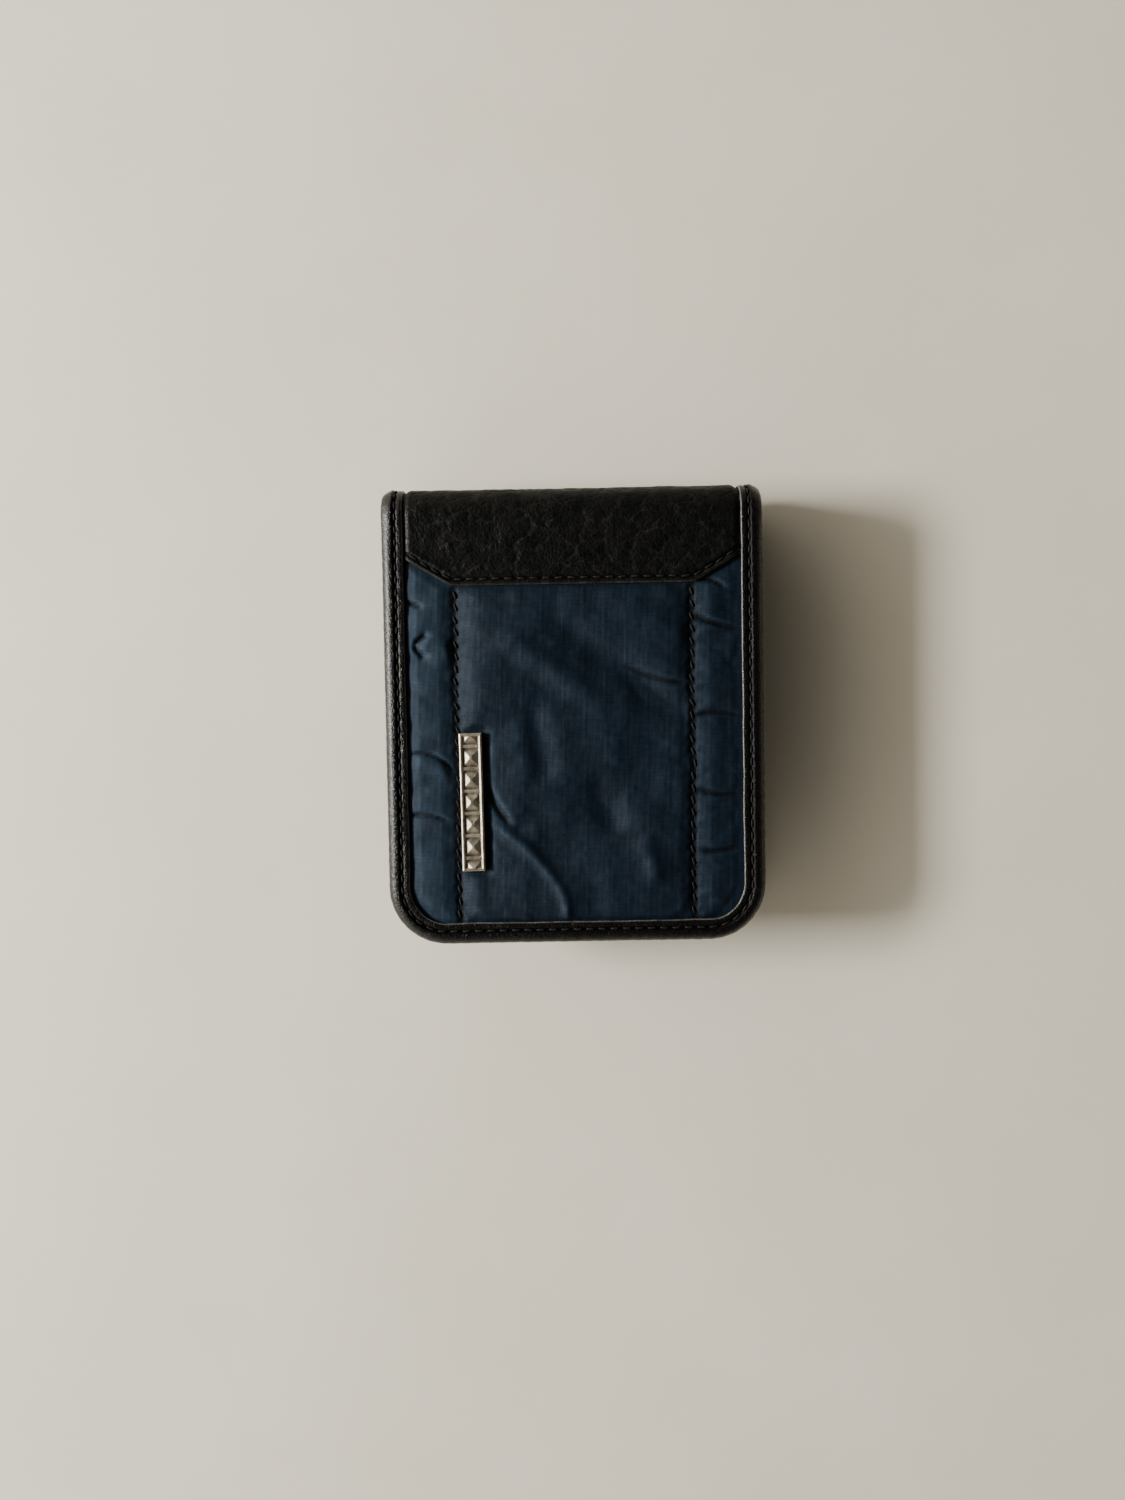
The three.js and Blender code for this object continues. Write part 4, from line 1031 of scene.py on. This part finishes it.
def cover(front):
    """Everything that is sewn into one cover and its half of the spine."""
    prefix = "front" if front else "back"
    nylon_panel(front)
    wadding(front)
    yoke(front)
    binding(front)
    lining = Outline(-SHEET_X, SHEET_X, SHEET_S, MID_S, SHEET_R, open_end=True)
    nodes = (f"{prefix}_lining", *spine_nodes(front, "spine_lining"))
    cloth_layer(f"{prefix}_shell_lining", lining, LINING_D, front, nodes, 0.08)
    panel = Outline(-SHEET_X, FACE_X - 0.3, SHEET_S, MID_S, SHEET_R, 14, open_end=True)
    nodes = (f"{prefix}_inner_panel", *spine_nodes(front, "spine_inner_panel"))
    cloth_layer(f"{prefix}_banknote_wall", panel, PANEL_D, front, nodes, 0.05)


# ---- The badge ----


def badge():
    """A cast bar: bevelled border, sunk floor and a plain chain of pyramids between ribs."""
    low_z = THICK - NYLON_D[0] + 0.2
    height = span("badge_bar")[1][2] - low_z
    rim = (0.0, 0.03, 0.08, 0.16, 0.26)
    u_line = spaced(-BADGE_WIDTH / 2, BADGE_WIDTH / 2, 0.13, rim)
    v_line = spaced(-BADGE_LENGTH / 2, BADGE_LENGTH / 2, 0.13, rim)
    u, v = np.meshgrid(u_line, v_line, indexing="ij")
    edge = np.minimum(BADGE_WIDTH / 2 - np.abs(u), BADGE_LENGTH / 2 - np.abs(v))
    bevel = 0.34 * (1 - np.sqrt(np.clip(1 - np.clip(1 - edge / 0.36, 0, 1) ** 2, 0, 1)))
    cell = 5.6  # from one pyramid to the next
    step = (v + cell / 2) % cell - cell / 2
    pyramid = 1 - np.maximum(np.abs(u) / 1.95, np.abs(step) / 2.1)
    rib = np.abs(np.abs(step) - cell / 2)
    floor = 0.62 * smooth(edge, 0.62, 0.86)
    raised = 0.62 * np.clip(pyramid, 0, 0.85) / 0.85
    bar = 0.36 * smooth(-rib, -0.42, -0.26) * smooth(edge, 0.7, 0.9)
    inside = np.maximum(raised * smooth(edge, 0.62, 0.86), bar)
    worn = 0.02 * ripple(u, v, 3.0, 81)
    top = height - bevel - floor + inside - worn * smooth(edge, 0.2, 0.6)
    cos, sin = math.cos(BADGE_TILT), math.sin(BADGE_TILT)

    def place(x, s, d):
        px = BADGE_X + x * cos - s * sin
        py = BADGE_S + FOLD_Y + x * sin + s * cos
        return np.stack([px, py, low_z + np.broadcast_to(d, x.shape)], -1)

    bar_piece = closed_sheet("badge_bar_relief", u, v, top, np.zeros_like(top), place)
    depth = smooth(height - 0.2 - top, 0.05, 0.5) * (edge > 0.5)
    mark(bar_piece, "recess", [depth, np.zeros_like(depth)])
    finish_piece(bar_piece, BADGE_METAL, "badge_metal", "badge_bar")
    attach(bar_piece, "front_cover")
    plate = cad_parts["badge_backing_plate"]
    plate.data.materials.clear()
    plate.data.materials.append(SNAP_METAL)


# ---- Inside: card pockets, leaf, coin pocket ----


def pocket_strip(name, node, place, body, facing, radius=0.0):
    """A card pocket's leather strip, turned over and stitched along its mouth at +X.

    facing is 1 where it is seen from the side of greater depth or height, and -1 where it is not.
    """
    low, high = span(node)
    outline = Outline(low[0], high[0], low[1] - FOLD_Y, high[1] - FOLD_Y, radius, 0)
    front = body == "front_cover"
    levels = (THICK - high[2], THICK - low[2]) if front else (low[2], high[2])

    def relief(x, s, inset):
        mouth = high[0] - x
        turned = 0.07 * smooth(-mouth, -2.9, -2.4) + 0.05 * np.exp(-(((mouth - 0.8) / 0.5) ** 2))
        return turned - 0.10 * np.exp(-(((mouth - 1.9) / 0.35) ** 2))

    faces = {"back_relief": relief} if facing > 0 else {"relief": relief}
    strip = leather_sheet(name, outline, levels, place, step=1.5, **faces)
    finish_piece(strip, SMOOTH_LEATHER, "smooth_leather", node)
    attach(strip, body)
    path = [(high[0] - 1.9, outline.s0 + 1.0), (high[0] - 1.9, outline.s1 - 1.0)]
    level = levels[1] - 0.02 if facing > 0 else levels[0] + 0.02
    sewn(stitch_row(f"{name}_stitches", path, level, place, 1.9, 0.12, 2.4, sign=-facing), body)


def level_sheet(name, node, material, slot, radius, ripple_height):
    """A level sheet of the leaf, with soft edges and gentle waves."""
    low, high = span(node)
    outline = Outline(low[0], high[0], low[1] - FOLD_Y, high[1] - FOLD_Y, radius)

    def wave(x, s, inset):
        return ripple_height * ripple(x, s, 30, len(name)) * smooth(inset, 1, 5)

    piece = leather_sheet(name, outline, (low[2], high[2]), on_leaf, step=1.9, back_relief=wave)
    finish_piece(piece, material, slot, node)
    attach(piece, "middle_leaf")


def window_frame():
    """The leather frame of the clear window: a ring between two rounded outlines, stitched near both."""
    low, high = span("leaf_window_frame")
    border, corner = 7.0, 4.6

    def loop(inset, radius):
        """A closed outline with round corners."""
        x0, x1 = low[0] + inset + radius, high[0] - inset - radius
        y0, y1 = low[1] + inset + radius, high[1] - inset - radius
        points = []
        for start, (x, y) in enumerate(((x1, y1), (x0, y1), (x0, y0), (x1, y0))):
            turn = (start + np.linspace(0, 1, 12)) * math.pi / 2
            points += [(x + radius * math.cos(a), y + radius * math.sin(a)) for a in turn]
        return np.array(points + points[:1])

    half = (high[2] - low[2]) / 2
    middle = (high[2] + low[2]) / 2
    steps = [0, 0.1, 0.25, 0.5, 1.2, 1.7, 1.95, 2.2, 3.4, 4.8, 5.05, 5.3, 5.9, 6.5, 6.75, 6.9, 7.0]
    stitched = (1.95, 5.05)
    outer = loop(0, corner)
    reach = lengths(outer)
    total = 280
    a = at_length(np.arange(total) / total * reach[-1], reach, outer)
    b = nearest(a, loop(border, 2.0))
    columns = []
    for side in (1, -1):
        for step in steps if side > 0 else steps[::-1]:
            away = min(step, border - step)
            lift = half - round_edge(np.array(away), half)
            if side > 0:
                lift = lift - 0.14 * sum(math.exp(-(((step - at) / 0.3) ** 2)) for at in stitched) + 0.03
            point = a + (b - a) * step / border
            columns.append(np.concatenate([point, np.full((total, 1), middle + side * max(lift, 0.02))], 1))
    points = np.stack(columns, 1)
    points = on_leaf(points[..., 0], points[..., 1] - FOLD_Y, points[..., 2])
    faces = grid_faces(total, len(columns), wrap=True)
    first = np.arange(len(columns))
    last = first + (total - 1) * len(columns)
    faces += np.stack([last, np.roll(last, -1), np.roll(first, -1), first], -1).tolist()
    piece = link("leaf_window_surround", points.reshape(-1, 3), faces)
    finish_piece(piece, SMOOTH_LEATHER, "smooth_leather", "leaf_window_frame")
    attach(piece, "middle_leaf")
    for label, at in zip(("outer", "inner"), stitched):
        path = a + (b - a) * (at / border)
        path = np.concatenate([path, path[:1]]) - (0, FOLD_Y)
        name, height = f"leaf_frame_stitches_{label}", high[2] - 0.04
        sewn(stitch_row(name, path, height, on_leaf, 1.9, 0.12, 2.5, sign=-1.0), "middle_leaf")


def nearest(outer, line):
    """For each outer point the nearest point on a line, so that the ring between them stays even."""
    start, run = line[:-1], np.diff(line, axis=0)
    size = np.maximum((run**2).sum(1), 1e-9)
    t = np.clip(((outer[:, None] - start) * run).sum(2) / size, 0, 1)
    near = start + run * t[..., None]
    best = np.argmin(((outer[:, None] - near) ** 2).sum(2), axis=1)
    return near[np.arange(len(outer)), best]


def leaf():
    """The middle leaf: lined core, stitched edge band, clear window above and card pockets below."""
    level_sheet("leaf_stiffener", "leaf_core", LINING, "lining_cloth", 7.2, 0.0)
    level_sheet("leaf_hinge_leather", "leaf_hinge_strip", SMOOTH_LEATHER, "smooth_leather", 0, 0.0)
    level_sheet("leaf_window_film", "leaf_window_pane", WINDOW, "clear_window", 2.0, 0.04)
    window_frame()
    low, high = span("leaf_edge_band")
    middle = (low[2] + high[2]) / 2
    path, reach = edge_path(high[0], low[1] - FOLD_Y, high[1] - FOLD_Y, 8.0, 0.8)
    flank = [(3.4, 0.52), (3.4, 0.8), (3.25, 0.9), (2.7, 0.93), (2.35, 0.91), (2.1, 0.78), (1.9, 0.76)]
    flank += [(1.7, 0.78), (1.45, 0.9), (1.1, 0.94), (0.6, 0.88), (0.28, 0.72), (0.08, 0.42), (0.0, 0.0)]
    loop = flank + [(u, -v) for u, v in flank[-2::-1]] + [(0.5, -0.5), (0.5, 0.5)]
    pucker = 0.035 * np.sin(2 * math.pi * reach / 2.6)[:, None]
    u = np.broadcast_to(np.array([p[0] for p in loop]), (len(path), len(loop)))
    v = np.array([p[1] for p in loop])[None, :] * (1 + pucker)
    band = swept("leaf_edge_wrap", path, np.stack([u, middle + v], -1), on_leaf)
    finish_piece(band, BINDING_LEATHER, "binding_leather", "leaf_edge_band")
    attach(band, "middle_leaf")
    seat = path[:, :2] + path[:, 2:] * 1.9
    for label, side in (("above", 1), ("below", -1)):
        name, height = f"leaf_edge_stitches_{label}", middle + side * 0.8
        sewn(stitch_row(name, seat, height, on_leaf, 2.0, 0.14, 2.6, sign=-side), "middle_leaf")
    for i in (1, 2, 3):
        pocket_strip(f"leaf_pocket_{i}", f"leaf_card_pocket_{i}", on_leaf, "middle_leaf", -1, 4.6)


def bent_sheet(name, line, s0, s1, thickness, material, slot, corners=None, plane="x"):
    """A sheet that follows a line of (across, height) points, level along the other axis from s0 to s1.

    plane is the axis that "across" means. corners(t, s, length) may draw the sheet's sides in.
    """
    line = np.asarray(line, float)
    reach = lengths(line)
    t, s = Outline(0, reach[-1], s0, s1).grid(1.5)
    ahead = at_length(np.clip(t + 0.15, 0, reach[-1]), reach, line)
    way = np.moveaxis(ahead - at_length(np.clip(t - 0.15, 0, reach[-1]), reach, line), -1, 0)
    along_u, along_z = way / np.maximum(np.hypot(*way), 1e-9)
    at_u, at_z = np.moveaxis(at_length(t, reach, line), -1, 0)
    if corners:
        s = corners(t, s, reach[-1])
    inset = np.minimum(np.minimum(t, reach[-1] - t), np.minimum(s - s.min(), s.max() - s))
    half = thickness / 2 - round_edge(inset, thickness / 2)

    def place(x, s_value, d):
        u, z = at_u - along_z * d, at_z + along_u * d
        return np.stack([u, s_value, z], -1) if plane == "x" else np.stack([s_value, u, z], -1)

    piece = closed_sheet(name, t, s, half, -half, place)
    return finish_piece(piece, material, slot)


def turned_corner(x0, z0, x1, z1, radius, steps=8):
    """A line that goes up from (x0, z0) and rounds over to run level to (x1, z1)."""
    way = 1 if x1 > x0 else -1
    angles = np.linspace(0, math.pi / 2, steps)
    bend = [(x0 + way * radius * (1 - math.cos(a)), z1 - radius * (1 - math.sin(a))) for a in angles]
    run = np.linspace(bend[-1][0], x1, 30)[1:]
    return [(x0, z) for z in np.linspace(z0, z1 - radius, 6)[:-1]] + bend + [(x, z1) for x in run]


COIN_LEATHER = (0.6, SMOOTH_LEATHER, "smooth_leather")  # thickness, material and slot
COIN_STITCH = (1.9, 0.13, 2.6)  # length, radius and pitch


def coin_pocket():
    """The coin pocket: a folded leather wall, two gussets folded inwards, and a flap with a snap."""
    wall_low, wall_high = span("coin_pocket_wall")
    fold_low, _ = span("coin_pocket_fold")
    wall_z = (wall_low[2] + wall_high[2]) / 2
    line = turned_corner(fold_low[0] + 0.3, fold_low[2], wall_high[0], wall_z, 1.4)
    wall = bent_sheet("coin_wall", line, wall_low[1], wall_high[1], *COIN_LEATHER)
    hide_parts("coin_pocket_wall", "coin_pocket_fold")
    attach(wall, "back_cover")
    seam = [(wall_low[0] + 2.2, wall_low[1] + 1.6), (wall_high[0] - 1.6, wall_low[1] + 1.6)]
    seam += [(wall_high[0] - 1.6, wall_high[1] - 1.6), (wall_low[0] + 2.2, wall_high[1] - 1.6)]
    path = np.array(seam) - (0, FOLD_Y)
    height = wall_high[2] - 0.03
    sewn(stitch_row("coin_wall_stitches", path, height, plan, *COIN_STITCH, sign=-1.0), "back_cover")
    for label, way in (("free_end", 1), ("spine_end", -1)):
        low, high = span(f"coin_gusset_{label}")
        mouth, apex = (low[1], high[1]) if way > 0 else (high[1], low[1])
        middle = (low[2] + high[2]) / 2
        t = np.linspace(-1, 1, 25)
        soft = np.sqrt(t * t + 0.02) - math.sqrt(0.02)
        y = apex - way * 0.45 + (mouth + way * 0.45 - apex + way * 0.45) * soft / soft[-1]
        line = np.stack([y, middle + t * ((high[2] - low[2]) / 2 - 0.28)], -1)
        name = f"coin_side_{label}"
        gusset = bent_sheet(name, line, low[0], high[0], 0.5, LINING, "lining_cloth", plane="y")
        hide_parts(f"coin_gusset_{label}")
        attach(gusset, "back_cover")
    coin_flap()
    snap()


def coin_flap():
    """The flap and its root are one piece of leather that bends at the top of the root."""
    root_low, root_high = span("coin_flap_root")
    low, high = span("coin_flap")
    z = (low[2] + high[2]) / 2
    x = (root_low[0] + root_high[0]) / 2
    line = turned_corner(x, root_low[2], low[0], z, 1.5)
    corner = 10.0
    middle = (low[1] + high[1]) / 2
    half = (high[1] - low[1]) / 2

    def rounded(half_width):
        """Draws in the two far corners of a sheet of this half width."""

        def drawn_in(t, s, length):
            cut = corner_cut(corner, t - (length - corner))
            return middle + (s - middle) * (half_width - cut) / half_width

        return drawn_in

    flap = bent_sheet("coin_cover", line, low[1], high[1], *COIN_LEATHER, corners=rounded(half))
    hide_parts("coin_flap", "coin_flap_root")
    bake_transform(flap)
    lining_low, lining_high = span("coin_flap_lining")
    margin = 0.4
    span_x = (lining_low[0] + margin, root_low[0] - 1.2)
    lining_z = (lining_low[2] + lining_high[2]) / 2
    lining_line = [(px, lining_z) for px in np.linspace(span_x[1], span_x[0], 30)]
    ends = (lining_low[1] + margin, lining_high[1] - margin)
    cloth = (0.3, LINING, "lining_cloth")
    lining = bent_sheet("coin_cover_lining", lining_line, *ends, *cloth, corners=rounded(half - margin))
    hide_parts("coin_flap_lining")
    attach(lining, "coin_flap")
    inset = 1.8
    arc = np.linspace(0, math.pi / 2, 10)
    r = corner - inset
    path = [(root_low[0] - 1.6, middle - half + inset)]
    path += [(low[0] + corner - r * math.sin(a), middle - half + corner - r * math.cos(a)) for a in arc]
    path += [(px, 2 * middle - py) for px, py in path[::-1]]
    path = np.array(path) - (0, FOLD_Y)
    height = high[2] - 0.03
    sewn(stitch_row("coin_cover_stitches", path, height, plan, *COIN_STITCH, sign=-1.0), "coin_flap")


def snap():
    """The press stud: cap and socket on the flap, stud and rivet on the pocket's wall."""
    low, high = span("snap_cap")
    centre = (low + high)[:2] / 2
    radius, base, top = (high[0] - low[0]) / 2, span("coin_flap")[1][2] + 0.03, high[2]
    rim = [(radius - 0.25, base), (radius, base + 0.12), (radius, base + 0.3), (radius - 0.2, base + 0.46)]
    ring = [(radius - 0.55, base + 0.5), (radius - 0.8, base + 0.42)]
    crown = [(r, base + 0.42 + z) for r, z in dome(radius - 0.95, top - base - 0.42)]
    cap = lathe("press_cap", [(0, base), *rim, *ring, *crown], centre)
    sock_low, sock_high = span("snap_socket")
    outer = (sock_high[0] - sock_low[0]) / 2
    bore, floor, roof = 2.1, sock_low[2], sock_high[2]
    loop = [(bore, floor + 0.15), (bore + 0.15, floor), (outer - 0.5, floor), (outer - 0.1, floor + 0.2)]
    loop += [(outer, roof - 0.15), (outer - 0.12, roof), (bore + 0.1, roof), (bore, roof - 0.12)]
    socket = lathe("press_socket", loop, centre)
    stud_low, stud_high = span("snap_stud")
    foot, flange = span("coin_pocket_wall")[1][2] + 0.03, (stud_high[0] - stud_low[0]) / 2
    knob = stud_high[2] - foot
    shape = [(0, foot), (flange - 0.1, foot), (flange, foot + 0.12), (flange - 0.15, foot + 0.3)]
    shape += [(2.4, foot + 0.4), (1.55, foot + 0.5), (1.42, foot + 0.75 * knob - 0.2)]
    shape += [(1.7, foot + 0.8 * knob), (1.62, stud_high[2] - 0.12), (1.3, stud_high[2]), (0, stud_high[2])]
    stud = lathe("press_stud", shape, centre)
    rivet_low, rivet_high = span("snap_stud_rivet")
    wide = (rivet_high[0] - rivet_low[0]) / 2
    disc = [(0, rivet_low[2] - 0.05), (wide - 0.4, rivet_low[2]), (wide, rivet_low[2] + 0.15)]
    rivet = lathe("press_rivet", disc + [(wide, rivet_high[2]), (0, rivet_high[2])], centre)
    for piece, node, body in (
        (cap, "snap_cap", "coin_flap"),
        (socket, "snap_socket", "coin_flap"),
        (stud, "snap_stud", "back_cover"),
        (rivet, "snap_stud_rivet", "back_cover"),
    ):
        finish_piece(piece, SNAP_METAL, "snap_metal", node)
        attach(piece, body)


# ---- Floor, light and camera ----


def floor():
    """A pale plain table."""
    mesh = bpy.data.meshes.new("table_top")
    reach = 1.6  # metres
    corners = [(x * reach, y * reach, 0) for x, y in ((-1, -1), (1, -1), (1, 1), (-1, 1))]
    mesh.from_pydata(corners, [], [(0, 1, 2, 3)])
    table = show("table_top", mesh)
    table.location.z = -0.0002
    n = Nodes("table_paint", None)
    mottle = n.noise(14, 4.0)
    tint = n.mix(n.ramp(mottle, (0.35, 0.0), (0.7, 1.0)), colour(205, 200, 185), colour(211, 206, 192))
    mesh.materials.append(n.shade(Base_Color=tint, Roughness=0.75, Specular_IOR_Level=0.2))


def window_light():
    """A broad soft light from the left, low enough for a long shadow."""
    lamp = bpy.data.lights.new("soft_window", "AREA")
    lamp.shape = "RECTANGLE"
    lamp.size, lamp.size_y = 0.36, 0.15
    lamp.energy = 33
    lamp.color = (1.0, 0.985, 0.95)
    source = show("soft_window", lamp)
    aim = Vector((0, 0, 0.01))
    elevation, bearing, distance = math.radians(26), math.radians(176), 1.1
    level = math.cos(elevation) * distance
    offset = (level * math.cos(bearing), level * math.sin(bearing), math.sin(elevation) * distance)
    source.location = aim + Vector(offset)
    source.rotation_euler = (aim - source.location).to_track_quat("-Z", "Y").to_euler()


def room():
    """A dim warm room, lighter on the window's side."""
    world = bpy.data.worlds.new("room")
    world.use_nodes = True
    tree = world.node_tree
    source = tree.nodes.new("ShaderNodeTexCoord")
    direction = tree.nodes.new("ShaderNodeSeparateXYZ")
    tree.links.new(source.outputs["Generated"], direction.inputs[0])
    fade = tree.nodes.new("ShaderNodeValToRGB")
    low, high = fade.color_ramp.elements
    low.position, high.position = 0.30, 0.80
    low.color, high.color = (1.0, 0.91, 0.77, 1), (0.03, 0.03, 0.03, 1)
    tree.links.new(direction.outputs["Z"], fade.inputs["Fac"])
    tree.links.new(fade.outputs["Color"], tree.nodes["Background"].inputs["Color"])
    side = tree.nodes.new("ShaderNodeMapRange")
    tree.links.new(direction.outputs["X"], side.inputs["Value"])
    side.interpolation_type = "SMOOTHSTEP"
    side.inputs["From Min"].default_value, side.inputs["From Max"].default_value = -1, 0.2
    side.inputs["To Min"].default_value, side.inputs["To Max"].default_value = 4.8, 0.3
    tree.links.new(side.outputs["Result"], tree.nodes["Background"].inputs["Strength"])
    bpy.context.scene.world = world


def camera():
    """A phone camera held nearly square above the wallet."""
    lens = bpy.data.cameras.new("camera")
    lens.sensor_fit = "VERTICAL"
    lens.sensor_height, lens.lens = 36, 27
    eye = show("camera", lens)
    aim = Vector((-3.2, -8.8, 25)) * MM
    lean, roll_angle, distance = math.radians(2.3), math.radians(1.0), 0.2805
    back = Vector((0, math.sin(lean), math.cos(lean)))
    up = (Vector((0, 1, 0)) - back * back.y).normalized()
    up = Matrix.Rotation(roll_angle, 3, -back) @ up
    turned = Matrix((up.cross(back), up, back)).transposed().to_4x4()
    eye.matrix_world = Matrix.Translation(aim + back * distance) @ turned
    bpy.context.scene.camera = eye


cover(True)
cover(False)
badge()
for number in (1, 2, 3, 4):
    node = f"front_card_pocket_{number}"
    pocket_strip(f"front_pocket_{number}", node, on_cover(True), "front_cover", 1, 6.5)
leaf()
coin_pocket()
floor()
window_light()
room()
camera()
